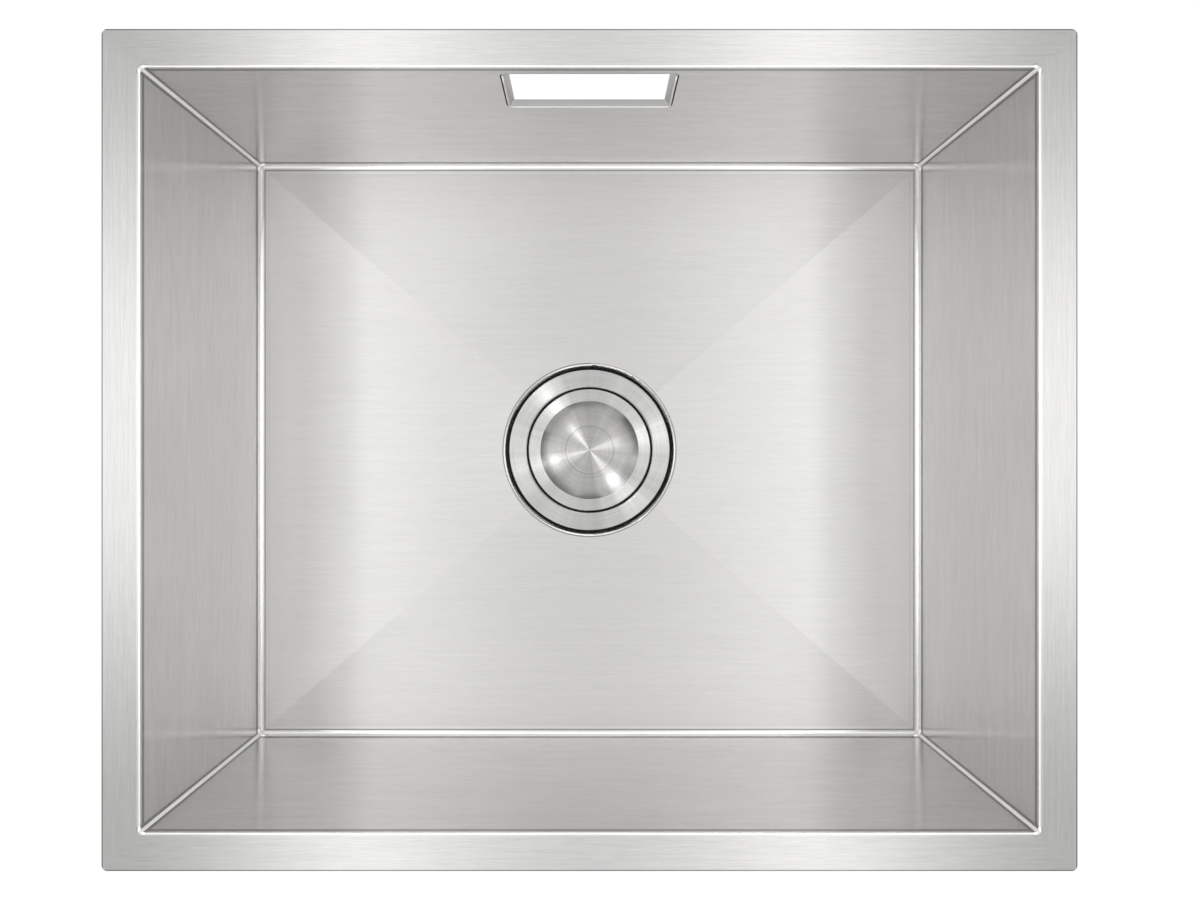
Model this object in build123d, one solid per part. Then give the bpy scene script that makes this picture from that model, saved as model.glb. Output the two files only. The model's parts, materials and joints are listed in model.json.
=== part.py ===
from build123d import *

import math
import os

# Undermount kitchen sink with its basket strainer waste. All sizes are in millimetres.
# The origin is the middle of the bowl's mouth, in the plane of the flange's top face.
# +Z is up, and +Y points to the back wall, which has the overflow.

# ---- Driving dimensions ----------------------------------------------------------------

# Bowl, folded from one sheet and welded at its four upright corners
SHEET = 1.2
MOUTH_LENGTH = 470.0
MOUTH_WIDTH = 400.0
FLANGE_RIM = 20.0  # width of the flange on each side of the mouth
FLANGE_CORNER = 3.0
BOWL_DEPTH = 200.0
SIDE_LEAN = 1.0  # degrees that the left and right walls lean in towards the floor
MOUTH_BEND = 0.8  # radius under the bend from flange to wall
FLOOR_BEND = 4.0  # radius inside the bend from wall to floor
WALL_CORNER = 2.5  # radius inside the upright corners
FLOOR_BORDER = 3.3  # level strip between the floor's bend and its slope
FLOOR_FALL = 3.5  # fall of the floor from its strip to the drain's axis

# Drain recess, pressed into the floor
RECESS_GAP = 2.4  # between the cup's flange and the recess's wall
RECESS_DEPTH = 3.5
RECESS_LIP = 0.8  # radius under the bend at the recess's edge
RECESS_FOOT = 1.0  # radius inside the bend at its seat
LANDING_WIDTH = 0.3  # flat ring round the recess's edge
LANDING_STEP = 0.05  # step from the sloping floor down to that ring
DRAIN_HOLE_GAP = 1.0  # between the cup's throat and the drain hole

# Overflow slot and the frame that lines it
SLOT_WIDTH = 94.5
SLOT_HEIGHT = 56.4
SLOT_CORNER = 1.5
SLOT_TOP = 9.6  # from the flange's top face down to the slot
SLOT_FIT = 0.2  # gap between slot and collar
COLLAR_WALL = 1.0
COLLAR_LIP = 0.4
WINDOW_CORNER = 1.0
WINDOW_SIDE_DRAFT = 2.6
WINDOW_TOP_DRAFT = 1.2
WINDOW_SILL_DRAFT = 0.4
FRAME_THICKNESS = 2.2
FRAME_CORNER = 4.0
FRAME_SIDE_BORDER = 14.0
FRAME_TOP_BORDER = 6.0
FRAME_LOW_BORDER = 12.0
STUD_RADIUS = 2.5
STUD_LENGTH = 12.0
STUD_CHAMFER = 0.5

# Sound-damping pads, stuck on the outside
PAD_THICKNESS = 3.0
PAD_CORNER = 12.0
PAD_TOP_MARGIN = 42.0  # from the flange down to a wall pad
PAD_FLOOR_MARGIN = 30.0  # from the floor up to a wall pad
PAD_END_MARGIN = 45.0  # from a wall's end to a wall pad
PAD_FRAME_MARGIN = 14.0  # from the overflow's frame down to the back pad
PAD_WALL_MARGIN = 28.0  # from a wall to a floor pad
PAD_WASTE_MARGIN = 16.0  # from the waste's rim to a floor pad
PAD_SPACING = 14.0  # between neighbouring floor pads

# Strainer cup, hung in the drain hole
CUP_SHEET = 1.0
CUP_FLANGE_WIDTH = 12.5  # from the throat out to the flange's edge
CUP_FLANGE_EDGE = 0.4
THROAT_RADIUS = 44.0
THROAT_LIP = 0.5  # radius under the bend from the cup's flange to its throat
STEP_DEPTH = 10.5
STEP_BEND = 0.5
CUP_STEP_WIDTH = 4.0  # from the throat in to the cup's wall
CUP_DEPTH = 48.5
CUP_FOOT = 6.0
CUP_HOLE_COUNT = 8
CUP_HOLE_RADIUS = 6.5
CUP_HOLE_MARGIN = 14.0  # from the cup's wall in to the middle of a hole

# Seals of the waste
UPPER_SEAL_THICKNESS = 1.8
UPPER_SEAL_MARGIN = 0.5
LOWER_SEAL_THICKNESS = 3.0
LOWER_SEAL_MARGIN = 1.0
SEAL_EDGE = 0.8

# Waste body under the sink
BODY_GAP = 1.5  # between the cup's throat and the body's bore
BODY_WALL = 3.0
BODY_RIM_MARGIN = 1.5  # how far the body's rim stands out past the cup's flange
BODY_RIM_THICKNESS = 3.5
BODY_DEPTH = 50.0
FUNNEL_DEPTH = 16.0
FUNNEL_BEND = 5.0
NECK_LENGTH = 7.5  # from the funnel's bore down to the joint with the outlet tail
OUTLET_RADIUS = 23.9
OUTLET_BORE = 19.5
OUTLET_LENGTH = 28.0  # neck and tail together
JOINT_RADIUS = 25.4
JOINT_THICKNESS = 1.6
THREAD_PITCH = 2.309
THREAD_DEPTH = 1.48
THREAD_CREST = 0.5
OUTLET_RIDGES = 7
RIB_COUNT = 8
RIB_THICKNESS = 3.0
RIB_HEIGHT = 14.0
RIB_MARGIN = 1.5  # from the rim's edge in to a gusset's end

# Hub in the waste body, and the screw that clamps the cup to it
HUB_RADIUS = 10.0
HUB_HEIGHT = 14.0
HUB_GAP = 1.0  # from the cup's underside down to the hub
ARM_COUNT = 4
ARM_THICKNESS = 4.0
ARM_HEIGHT = 8.0
ARM_DROP = 2.0  # from the hub's top down to its arms
INSERT_RADIUS = 6.0
SCREW_RADIUS = 3.0
SCREW_FIT = 0.05
SCREW_HEAD_RADIUS = 6.0
SCREW_HEAD_HEIGHT = 3.5
SCREW_HEAD_EDGE = 1.2
SCREW_SLOT_WIDTH = 1.4
SCREW_SLOT_DEPTH = 1.6
SCREW_TIP = 1.5  # how far the screw stands out under the hub
WASHER_RADIUS = 9.0
WASHER_THICKNESS = 1.2

# Overflow inlet on the waste body, closed by a cap
INLET_DROP = 25.5  # from the waste's rim down to the inlet's axis
INLET_REACH = 84.0  # from the drain's axis to the inlet's end
INLET_RADIUS = 15.0
INLET_BORE = 11.0
INLET_RIDGES = 4
INLET_END_MARGIN = 1.5
BLANK_THICKNESS = 2.5
BLANK_EDGE = 0.3  # between the blank's edge and the cap's bore
CAP_FIT = 0.3
CAP_WALL = 2.5
CAP_LENGTH = 15.0
CAP_GRIP_COUNT = 24
CAP_GRIP_RADIUS = 1.2
CAP_EDGE = 1.0

# Filter basket
BASKET_SHEET = 0.8
BASKET_GAP = 1.2  # between basket and cup
BASKET_RIM_GAP = 0.7  # between the basket's rim and the throat
BASKET_DEPTH = 26.0
BASKET_FOOT = 4.0
BASKET_LIP = 0.6
BASKET_SLOT_COUNT = 30
BASKET_SLOT_WIDTH = 2.4
BASKET_SLOT_HEIGHT = 12.0
BASKET_SLOT_DROP = 5.0
BASKET_HOLE_RADIUS = 1.5
BASKET_HOLE_MARGIN = 4.5  # from the core's shoulder to the first ring of holes
BASKET_HOLE_END = 3.7  # from the last ring of holes to the bend at the basket's foot
BASKET_HOLE_RINGS = 3
BASKET_SEAL_THICKNESS = 1.5
BASKET_SEAL_MARGIN = 0.25

# Press core in the middle of the basket
LID_TRAVEL = 9.0
CORE_RADIUS = 9.0
CORE_WALL = 1.5
CORE_HEIGHT = 20.0  # above the basket's floor
CORE_CAP = 2.0
CORE_SHOULDER_RADIUS = 13.0
CORE_SHOULDER_THICKNESS = 1.5
CORE_BASE = 1.5
CORE_NUT_FLATS = 24.0
CORE_NUT_THICKNESS = 3.0
CORE_NUT_MARGIN = 1.5  # thread that stands out under the nut
CORE_THREAD_FIT = 0.05
PLUNGER_RADIUS = 5.0
PLUNGER_FIT = 0.06
PLUNGER_TAIL_RADIUS = 2.8
PLUNGER_TAIL_GAP = 2.5  # from the core's base up to the plunger's tail
COLLAR_THICKNESS = 2.5
COLLAR_STOP_GAP = 0.2
CORE_SLIDE_FIT = 0.4
ROTOR_THICKNESS = 1.6
ROTOR_TOOTH_COUNT = 8
ROTOR_TOOTH_DEPTH = 0.8
ROTOR_FIT = 0.3
SPRING_WIRE = 0.4  # radius of the spring's wire
SPRING_TURNS = 4
SPRING_END_GAP = 0.05

# Lid that closes the drain
LID_GAP = 1.1  # between lid and throat
LID_SHEET = 1.0
LID_RING_WIDTH = 8.3
LID_SKIRT = 3.5
LID_EDGE = 0.6
DISH_DEPTH = 2.8
DISH_SLOPE = 18.0  # degrees that the dish rises at its edge
DISH_BEND = 40.0
DISC_RADIUS = 17.0
DISC_THICKNESS = 0.8
DISC_FIT = 0.12
RETAINER_MARGIN = 4.9  # from the lid's edge in to the seal's seat
RETAINER_THICKNESS = 3.0
RETAINER_FLANGE = 2.0
RETAINER_FLANGE_THICKNESS = 1.2
LID_SEAL_FIT = 0.1
LID_SEAL_GAP = 0.1  # from the seal down to the basket's rim when shut
LID_SEAL_THICKNESS = 1.3
LID_STUD_RADIUS = 3.0
LID_STUD_DEPTH = 9.0  # length of the stud inside the plunger

# ---- Places that follow from the dimensions ----------------------------------------------

OVERRUN = 1.0  # how far a cutting or joining solid reaches past the face that it meets
SAME_POINT = 1e-6  # closer points are one point
SAME_LEVEL = 1e-3  # closer heights are one height
LEAN = math.radians(SIDE_LEAN)
FLANGE_LENGTH = MOUTH_LENGTH + 2 * FLANGE_RIM
FLANGE_WIDTH = MOUTH_WIDTH + 2 * FLANGE_RIM
FLOOR_LEVEL = -BOWL_DEPTH
BACK_WALL = MOUTH_WIDTH / 2
FLOOR_HALF_LENGTH = MOUTH_LENGTH / 2 - BOWL_DEPTH * math.tan(LEAN)
FALL_HALF_LENGTH = FLOOR_HALF_LENGTH - FLOOR_BEND - FLOOR_BORDER
FALL_HALF_WIDTH = MOUTH_WIDTH / 2 - FLOOR_BEND - FLOOR_BORDER
FALL_CORNER = math.hypot(FALL_HALF_LENGTH, FALL_HALF_WIDTH)

CUP_FLANGE_RADIUS = THROAT_RADIUS + CUP_FLANGE_WIDTH
CUP_RADIUS = THROAT_RADIUS - CUP_STEP_WIDTH
CUP_HOLE_RING = CUP_RADIUS - CUP_HOLE_MARGIN
DRAIN_HOLE_RADIUS = THROAT_RADIUS + CUP_SHEET + DRAIN_HOLE_GAP
RECESS_RADIUS = CUP_FLANGE_RADIUS + RECESS_GAP

LANDING_TOP = FLOOR_LEVEL - FLOOR_FALL * (1 - RECESS_RADIUS / FALL_CORNER) - LANDING_STEP
LANDING_RADIUS = RECESS_RADIUS + RECESS_LIP + SHEET + LANDING_WIDTH
SEAT_TOP = LANDING_TOP - RECESS_DEPTH
SEAT_BOTTOM = SEAT_TOP - SHEET

SLOT_MIDDLE = -SLOT_TOP - SLOT_HEIGHT / 2
SLOT_BOTTOM = -SLOT_TOP - SLOT_HEIGHT
FRAME_FRONT = BACK_WALL + SHEET
FRAME_BACK = FRAME_FRONT + FRAME_THICKNESS
STUD_OFFSET = (SLOT_WIDTH + FRAME_SIDE_BORDER) / 2

CUP_TOP = SEAT_TOP + UPPER_SEAL_THICKNESS + CUP_SHEET
STEP_TOP = CUP_TOP - STEP_DEPTH
CUP_FLOOR = CUP_TOP - CUP_DEPTH

BODY_TOP = SEAT_BOTTOM - LOWER_SEAL_THICKNESS
BODY_BORE = THROAT_RADIUS + CUP_SHEET + BODY_GAP
BODY_RADIUS = BODY_BORE + BODY_WALL
BODY_RIM_RADIUS = CUP_FLANGE_RADIUS + BODY_RIM_MARGIN
RIB_END = BODY_RIM_RADIUS - RIB_MARGIN
FUNNEL_TOP = BODY_TOP - BODY_DEPTH
OUTLET_TOP = FUNNEL_TOP - FUNNEL_DEPTH
OUTLET_BOTTOM = OUTLET_TOP - OUTLET_LENGTH
OUTLET_ROOT = OUTLET_RADIUS - THREAD_DEPTH
TAIL_TOP = OUTLET_TOP - NECK_LENGTH
INLET_HEIGHT = BODY_TOP - INLET_DROP
HUB_TOP = CUP_FLOOR - CUP_SHEET - HUB_GAP
HUB_BOTTOM = HUB_TOP - HUB_HEIGHT

BASKET_RIM_TOP = STEP_TOP + BASKET_SEAL_THICKNESS + BASKET_SHEET
BASKET_RIM_RADIUS = THROAT_RADIUS - BASKET_RIM_GAP
BASKET_RADIUS = CUP_RADIUS - BASKET_GAP - BASKET_SHEET
BASKET_HOLE_START = CORE_SHOULDER_RADIUS + BASKET_HOLE_MARGIN
BASKET_HOLE_REACH = BASKET_RADIUS - BASKET_FOOT - BASKET_HOLE_END - BASKET_HOLE_START
BASKET_HOLE_SPACING = BASKET_HOLE_REACH / (BASKET_HOLE_RINGS - 1)
BASKET_FLOOR = BASKET_RIM_TOP - BASKET_DEPTH
BASKET_BOTTOM = BASKET_FLOOR - BASKET_SHEET

CORE_TOP = BASKET_FLOOR + CORE_HEIGHT
CORE_BOTTOM = BASKET_BOTTOM - CORE_NUT_THICKNESS - CORE_NUT_MARGIN
CORE_BORE = CORE_RADIUS - CORE_WALL
COLLAR_RADIUS = CORE_BORE - CORE_SLIDE_FIT
COLLAR_TOP = CORE_TOP - CORE_CAP - COLLAR_STOP_GAP - LID_TRAVEL
COLLAR_BOTTOM = COLLAR_TOP - COLLAR_THICKNESS
ROTOR_BOTTOM = COLLAR_BOTTOM - ROTOR_THICKNESS
CORE_INSIDE_BOTTOM = CORE_BOTTOM + CORE_BASE

LID_TOP = CUP_TOP
LID_RADIUS = THROAT_RADIUS - LID_GAP
DISH_RADIUS = LID_RADIUS - LID_RING_WIDTH
RETAINER_RADIUS = LID_RADIUS - RETAINER_MARGIN
DISC_TOP = LID_TOP - DISH_DEPTH
DISC_BOTTOM = DISC_TOP - DISC_THICKNESS
RETAINER_TOP = DISC_BOTTOM - LID_SHEET
RETAINER_BOTTOM = RETAINER_TOP - RETAINER_THICKNESS
LID_SEAL_BOTTOM = BASKET_RIM_TOP + LID_SEAL_GAP


# ---- Shared shapes -----------------------------------------------------------------------


def section(corners):
    """Face in the XZ plane through (radius, height) corners. A third number rounds a corner."""
    points = [Vector(corner[0], 0, corner[1]) for corner in corners]
    arrivals, departures, arcs = [], [], []
    for index, corner in enumerate(corners):
        point = points[index]
        radius = corner[2] if len(corner) > 2 else 0.0
        back = (points[index - 1] - point).normalized()
        ahead = (points[(index + 1) % len(points)] - point).normalized()
        if radius == 0.0:
            arrivals.append(point)
            departures.append(point)
            arcs.append(None)
            continue
        half_angle = math.radians(back.get_angle(ahead)) / 2
        reach = radius / math.tan(half_angle)
        bulge = radius / math.sin(half_angle) - radius
        arrivals.append(point + back * reach)
        departures.append(point + ahead * reach)
        middle = point + (back + ahead).normalized() * bulge
        arcs.append(ThreePointArc(arrivals[-1], middle, departures[-1]))
    edges = []
    for index, arc in enumerate(arcs):
        if (arrivals[index] - departures[index - 1]).length > SAME_POINT:
            edges.append(Line(departures[index - 1], arrivals[index]))
        if arc is not None:
            edges.append(arc)
    return make_face(Wire(edges))


def turned(corners):
    """Solid turned about Z from its section's corners."""
    return revolve(section(corners), Axis.Z)


def ring(inner, outer, bottom, top):
    """Plain ring about Z."""
    return turned([(inner, bottom), (outer, bottom), (outer, top), (inner, top)])


def post(radius, bottom, top):
    """Plain round bar along Z, on the drain's axis."""
    return Pos(0, 0, bottom) * extrude(Circle(radius), amount=top - bottom)


def upright_block(width, height, corner, front, back, middle):
    """Rounded rectangle that stands in the XZ plane, from front to back along Y."""
    plane = Plane((0, front, middle), x_dir=(1, 0, 0), z_dir=(0, 1, 0))
    return extrude(plane * RectangleRounded(width, height, corner), amount=back - front)


def along_inlet(solid):
    """Turn a solid made about Z, its top at height 0, to lie on the inlet's axis."""
    return Pos(0, 0, INLET_HEIGHT) * Rot(X=-90) * solid


def thread_corners(radius, first_ridge, ridges):
    """Section corners of a thread's ridges, from the highest ridge down."""
    flank = (THREAD_PITCH - 2 * THREAD_CREST) / 2
    corners = []
    for index in range(ridges):
        top = first_ridge - index * THREAD_PITCH
        corners += [
            (radius - THREAD_DEPTH, top + flank),
            (radius, top),
            (radius, top - THREAD_CREST),
            (radius - THREAD_DEPTH, top - THREAD_CREST - flank),
        ]
    return corners


# ---- Bowl --------------------------------------------------------------------------------


def half_length_at(height, grow):
    """Half the distance between the side walls at a height, their faces moved out by grow."""
    return MOUTH_LENGTH / 2 + grow / math.cos(LEAN) + height * math.tan(LEAN)


def leaning_block(top, bottom, grow):
    """Block between the planes of the four walls, their faces moved out by grow."""
    half_top = half_length_at(top, grow)
    half_bottom = half_length_at(bottom, grow)
    outline = Polyline(
        (half_top, 0, top),
        (-half_top, 0, top),
        (-half_bottom, 0, bottom),
        (half_bottom, 0, bottom),
        close=True,
    )
    return extrude(make_face(outline), amount=MOUTH_WIDTH / 2 + grow, both=True)


def sloping_floor(level):
    """Four facets that fall from a level rim to a point on the drain's axis."""
    signs = ((1, 1), (-1, 1), (-1, -1), (1, -1))
    rim = [Vector(x * FALL_HALF_LENGTH, y * FALL_HALF_WIDTH, level) for x, y in signs]
    point = Vector(0, 0, level - FLOOR_FALL)
    facets = [make_face(Polyline(rim[i - 1], rim[i], point, close=True)) for i in range(4)]
    cover = make_face(Polyline(*rim, close=True))
    return Solid(Shell(facets + [cover]))


def recess(grow):
    """Solid that fills the drain recess, its faces moved out by grow."""
    top = FLOOR_LEVEL + OVERRUN
    return turned(
        [
            (0, SEAT_TOP - grow),
            (RECESS_RADIUS + grow, SEAT_TOP - grow, RECESS_FOOT + grow),
            (RECESS_RADIUS + grow, LANDING_TOP - grow, RECESS_LIP + SHEET - grow),
            (LANDING_RADIUS + grow, LANDING_TOP - grow),
            (LANDING_RADIUS + grow, top),
            (0, top),
        ]
    )


def basin(top, grow):
    """Solid that fills the bowl's hollow up to a height, its faces moved out by grow."""
    bottom = FLOOR_LEVEL - grow
    folded = leaning_block(top, bottom, grow)
    folded = fillet(folded.faces().sort_by(Axis.Z)[0].edges(), FLOOR_BEND + grow)
    welded = leaning_block(top, bottom - OVERRUN, grow)
    uprights = welded.edges().filter_by(lambda edge: edge.bounding_box().size.Z > BOWL_DEPTH / 2)
    welded = fillet(uprights, WALL_CORNER + grow)
    return (folded & welded) + sloping_floor(bottom) + recess(grow)


def loop_at(solid, height):
    """Edges of the bowl's mouth or neck that lie at one height, inside the flange's edge."""
    half_length = MOUTH_LENGTH / 2 + SHEET + OVERRUN
    half_width = MOUTH_WIDTH / 2 + SHEET + OVERRUN

    def chosen(edge):
        box = edge.bounding_box()
        off_level = max(abs(box.min.Z - height), abs(box.max.Z - height))
        middle = box.center()
        inside = abs(middle.X) < half_length and abs(middle.Y) < half_width
        return inside and off_level < SAME_LEVEL

    return solid.edges().filter_by(chosen)


def bowl():
    """Flange, walls, floor and drain recess in one folded and welded sheet."""
    plate = extrude(RectangleRounded(FLANGE_LENGTH, FLANGE_WIDTH, FLANGE_CORNER), amount=-SHEET)
    shell = plate + basin(-SHEET / 2, SHEET) - basin(OVERRUN, 0)
    shell = fillet(loop_at(shell, 0), MOUTH_BEND + SHEET)
    shell = fillet(loop_at(shell, -SHEET), MOUTH_BEND)
    slot_front = BACK_WALL - OVERRUN
    slot_back = FRAME_FRONT + OVERRUN
    slot = upright_block(SLOT_WIDTH, SLOT_HEIGHT, SLOT_CORNER, slot_front, slot_back, SLOT_MIDDLE)
    hole = post(DRAIN_HOLE_RADIUS, SEAT_BOTTOM - OVERRUN, SEAT_TOP + OVERRUN)
    return shell - slot - hole


# ---- Overflow ----------------------------------------------------------------------------


def overflow_window():
    """Opening of the overflow, wider at the bowl's side."""
    width = SLOT_WIDTH - 2 * (SLOT_FIT + COLLAR_WALL)
    height = SLOT_HEIGHT - 2 * (SLOT_FIT + COLLAR_WALL)
    back_width = width - 2 * WINDOW_SIDE_DRAFT
    back_height = height - WINDOW_TOP_DRAFT - WINDOW_SILL_DRAFT
    back_middle = SLOT_MIDDLE + (WINDOW_SILL_DRAFT - WINDOW_TOP_DRAFT) / 2
    planes = [
        Plane((0, BACK_WALL, SLOT_MIDDLE), x_dir=(1, 0, 0), z_dir=(0, 1, 0)),
        Plane((0, FRAME_BACK, back_middle), x_dir=(1, 0, 0), z_dir=(0, 1, 0)),
    ]
    front = planes[0] * RectangleRounded(width, height, WINDOW_CORNER)
    back = planes[1] * RectangleRounded(back_width, back_height, WINDOW_CORNER)
    return loft([front, back], ruled=True)


def overflow_frame():
    """Plate behind the back wall, with a collar that lines the slot."""
    width = SLOT_WIDTH + 2 * FRAME_SIDE_BORDER
    height = SLOT_HEIGHT + FRAME_TOP_BORDER + FRAME_LOW_BORDER
    middle = SLOT_MIDDLE + (FRAME_TOP_BORDER - FRAME_LOW_BORDER) / 2
    plate = upright_block(width, height, FRAME_CORNER, FRAME_FRONT, FRAME_BACK, middle)
    collar = upright_block(
        SLOT_WIDTH - 2 * SLOT_FIT,
        SLOT_HEIGHT - 2 * SLOT_FIT,
        SLOT_CORNER - SLOT_FIT,
        BACK_WALL,
        FRAME_BACK,
        SLOT_MIDDLE,
    )
    frame = plate + collar - overflow_window()
    mouth = frame.faces().sort_by(Axis.Y)[0].inner_wires()[0]
    return fillet(mouth.edges(), COLLAR_LIP)


def overflow_studs():
    """Two studs welded to the frame, which hold an overflow duct."""
    stud = post(STUD_RADIUS, 0, STUD_LENGTH)
    stud = chamfer(stud.faces().sort_by(Axis.Z)[-1].edges(), STUD_CHAMFER)
    stud = Pos(0, FRAME_BACK, SLOT_MIDDLE) * Rot(X=-90) * stud
    return Compound([Pos(side * STUD_OFFSET, 0, 0) * stud for side in (-1, 1)])


# ---- Damping pads ------------------------------------------------------------------------


def wall_pad(place, outward, across, length, top, bottom):
    """Pad on the outside of a wall, its middle at a place on that wall."""
    plane = Plane(place, x_dir=across, z_dir=outward)
    return extrude(plane * RectangleRounded(length, top - bottom, PAD_CORNER), amount=PAD_THICKNESS)


def side_pad(side):
    """Pad on the left (-1) or right (1) wall."""
    top = -PAD_TOP_MARGIN
    bottom = FLOOR_LEVEL + PAD_FLOOR_MARGIN
    middle = (top + bottom) / 2
    place = (side * half_length_at(middle, SHEET), 0, middle)
    outward = (side * math.cos(LEAN), 0, -math.sin(LEAN))
    length = MOUTH_WIDTH - 2 * PAD_END_MARGIN
    return wall_pad(place, outward, (0, 1, 0), length, top, bottom)


def front_pad():
    """Pad on the front wall."""
    top = -PAD_TOP_MARGIN
    bottom = FLOOR_LEVEL + PAD_FLOOR_MARGIN
    place = (0, -BACK_WALL - SHEET, (top + bottom) / 2)
    length = MOUTH_LENGTH - 2 * PAD_END_MARGIN
    return wall_pad(place, (0, -1, 0), (1, 0, 0), length, top, bottom)


def back_pad():
    """Pad on the back wall, under the overflow."""
    top = SLOT_BOTTOM - FRAME_LOW_BORDER - PAD_FRAME_MARGIN
    bottom = FLOOR_LEVEL + PAD_FLOOR_MARGIN
    place = (0, BACK_WALL + SHEET, (top + bottom) / 2)
    length = MOUTH_LENGTH - 2 * PAD_END_MARGIN
    return wall_pad(place, (0, 1, 0), (1, 0, 0), length, top, bottom)


def floor_form(drop):
    """Solid over the whole floor whose lower face is the sheet's underside, lowered by drop."""
    level = FLOOR_LEVEL - SHEET - drop
    slab = Pos(0, 0, level) * extrude(Rectangle(MOUTH_LENGTH, MOUTH_WIDTH), amount=BOWL_DEPTH / 2)
    return slab + sloping_floor(level)


def floor_pad(x_low, x_high, y_low, y_high):
    """Pad under the floor, which follows the floor's facets."""
    low = FLOOR_LEVEL - SHEET - FLOOR_FALL - PAD_THICKNESS - OVERRUN
    outline = RectangleRounded(x_high - x_low, y_high - y_low, PAD_CORNER)
    footprint = Pos((x_low + x_high) / 2, (y_low + y_high) / 2, low) * extrude(
        outline, amount=FLOOR_LEVEL - low
    )
    return (footprint & floor_form(PAD_THICKNESS)) - floor_form(0)


def side_floor_pad(side):
    """Floor pad to the left (-1) or right (1) of the drain."""
    near = BODY_RIM_RADIUS + PAD_WASTE_MARGIN
    far = FLOOR_HALF_LENGTH - PAD_WALL_MARGIN
    reach = BACK_WALL - PAD_WALL_MARGIN
    low, high = sorted((side * near, side * far))
    return floor_pad(low, high, -reach, reach)


def end_floor_pad(side):
    """Floor pad in front of (-1) or behind (1) the drain."""
    near = BODY_RIM_RADIUS + PAD_WASTE_MARGIN
    far = BACK_WALL - PAD_WALL_MARGIN
    half_length = BODY_RIM_RADIUS + PAD_WASTE_MARGIN - PAD_SPACING
    low, high = sorted((side * near, side * far))
    return floor_pad(-half_length, half_length, low, high)


# ---- Strainer cup and seals ----------------------------------------------------------------


def strainer_cup():
    """Cup with the drain's visible flange, a step for the basket and a perforated floor."""
    bore = SCREW_RADIUS + SCREW_FIT
    cup = turned(
        [
            (bore, CUP_FLOOR),
            (CUP_RADIUS, CUP_FLOOR, CUP_FOOT),
            (CUP_RADIUS, STEP_TOP, STEP_BEND + CUP_SHEET),
            (THROAT_RADIUS, STEP_TOP, STEP_BEND),
            (THROAT_RADIUS, CUP_TOP, THROAT_LIP + CUP_SHEET),
            (CUP_FLANGE_RADIUS, CUP_TOP, CUP_FLANGE_EDGE),
            (CUP_FLANGE_RADIUS, CUP_TOP - CUP_SHEET, CUP_FLANGE_EDGE),
            (THROAT_RADIUS + CUP_SHEET, CUP_TOP - CUP_SHEET, THROAT_LIP),
            (THROAT_RADIUS + CUP_SHEET, STEP_TOP - CUP_SHEET, STEP_BEND + CUP_SHEET),
            (CUP_RADIUS + CUP_SHEET, STEP_TOP - CUP_SHEET, STEP_BEND),
            (CUP_RADIUS + CUP_SHEET, CUP_FLOOR - CUP_SHEET, CUP_FOOT + CUP_SHEET),
            (bore, CUP_FLOOR - CUP_SHEET),
        ]
    )
    hole = post(CUP_HOLE_RADIUS, CUP_FLOOR - CUP_SHEET - OVERRUN, CUP_FLOOR + OVERRUN)
    return cup - [place * hole for place in PolarLocations(CUP_HOLE_RING, CUP_HOLE_COUNT)]


def upper_seal():
    """Flat seal between the cup's flange and the recess's seat."""
    return ring(
        DRAIN_HOLE_RADIUS + UPPER_SEAL_MARGIN,
        CUP_FLANGE_RADIUS - UPPER_SEAL_MARGIN,
        SEAT_TOP,
        SEAT_TOP + UPPER_SEAL_THICKNESS,
    )


def lower_seal():
    """Seal between the recess's underside and the waste body's rim."""
    inner = DRAIN_HOLE_RADIUS + LOWER_SEAL_MARGIN
    outer = BODY_RIM_RADIUS - LOWER_SEAL_MARGIN
    return turned(
        [
            (inner, BODY_TOP),
            (outer, BODY_TOP, SEAL_EDGE),
            (outer, SEAT_BOTTOM, SEAL_EDGE),
            (inner, SEAT_BOTTOM),
        ]
    )


# ---- Waste body --------------------------------------------------------------------------


def body_hollow():
    """Space inside the waste body, from its rim to its neck."""
    return turned(
        [
            (0, TAIL_TOP - OVERRUN),
            (OUTLET_BORE, TAIL_TOP - OVERRUN),
            (OUTLET_BORE, OUTLET_TOP),
            (BODY_BORE, FUNNEL_TOP, FUNNEL_BEND),
            (BODY_BORE, BODY_TOP + OVERRUN),
            (0, BODY_TOP + OVERRUN),
        ]
    )


def body_outside():
    """Waste body as a full solid, down to the flange of its neck."""
    return turned(
        [
            (0, BODY_TOP),
            (BODY_RIM_RADIUS, BODY_TOP),
            (BODY_RIM_RADIUS, BODY_TOP - BODY_RIM_THICKNESS),
            (BODY_RADIUS, BODY_TOP - BODY_RIM_THICKNESS),
            (BODY_RADIUS, FUNNEL_TOP, FUNNEL_BEND + BODY_WALL),
            (OUTLET_ROOT, OUTLET_TOP - BODY_WALL),
            (OUTLET_ROOT, TAIL_TOP + JOINT_THICKNESS),
            (JOINT_RADIUS, TAIL_TOP + JOINT_THICKNESS),
            (JOINT_RADIUS, TAIL_TOP),
            (0, TAIL_TOP),
        ]
    )


def inlet_outside():
    """Overflow inlet as a full bar, with the ridges of its thread."""
    root = INLET_RADIUS - THREAD_DEPTH
    start = (BODY_RADIUS + BODY_BORE) / 2
    first_ridge = INLET_REACH - INLET_END_MARGIN - THREAD_CREST
    return along_inlet(
        turned(
            [
                (0, INLET_REACH),
                (root, INLET_REACH),
                *thread_corners(INLET_RADIUS, first_ridge, INLET_RIDGES),
                (root, start),
                (0, start),
            ]
        )
    )


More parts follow.
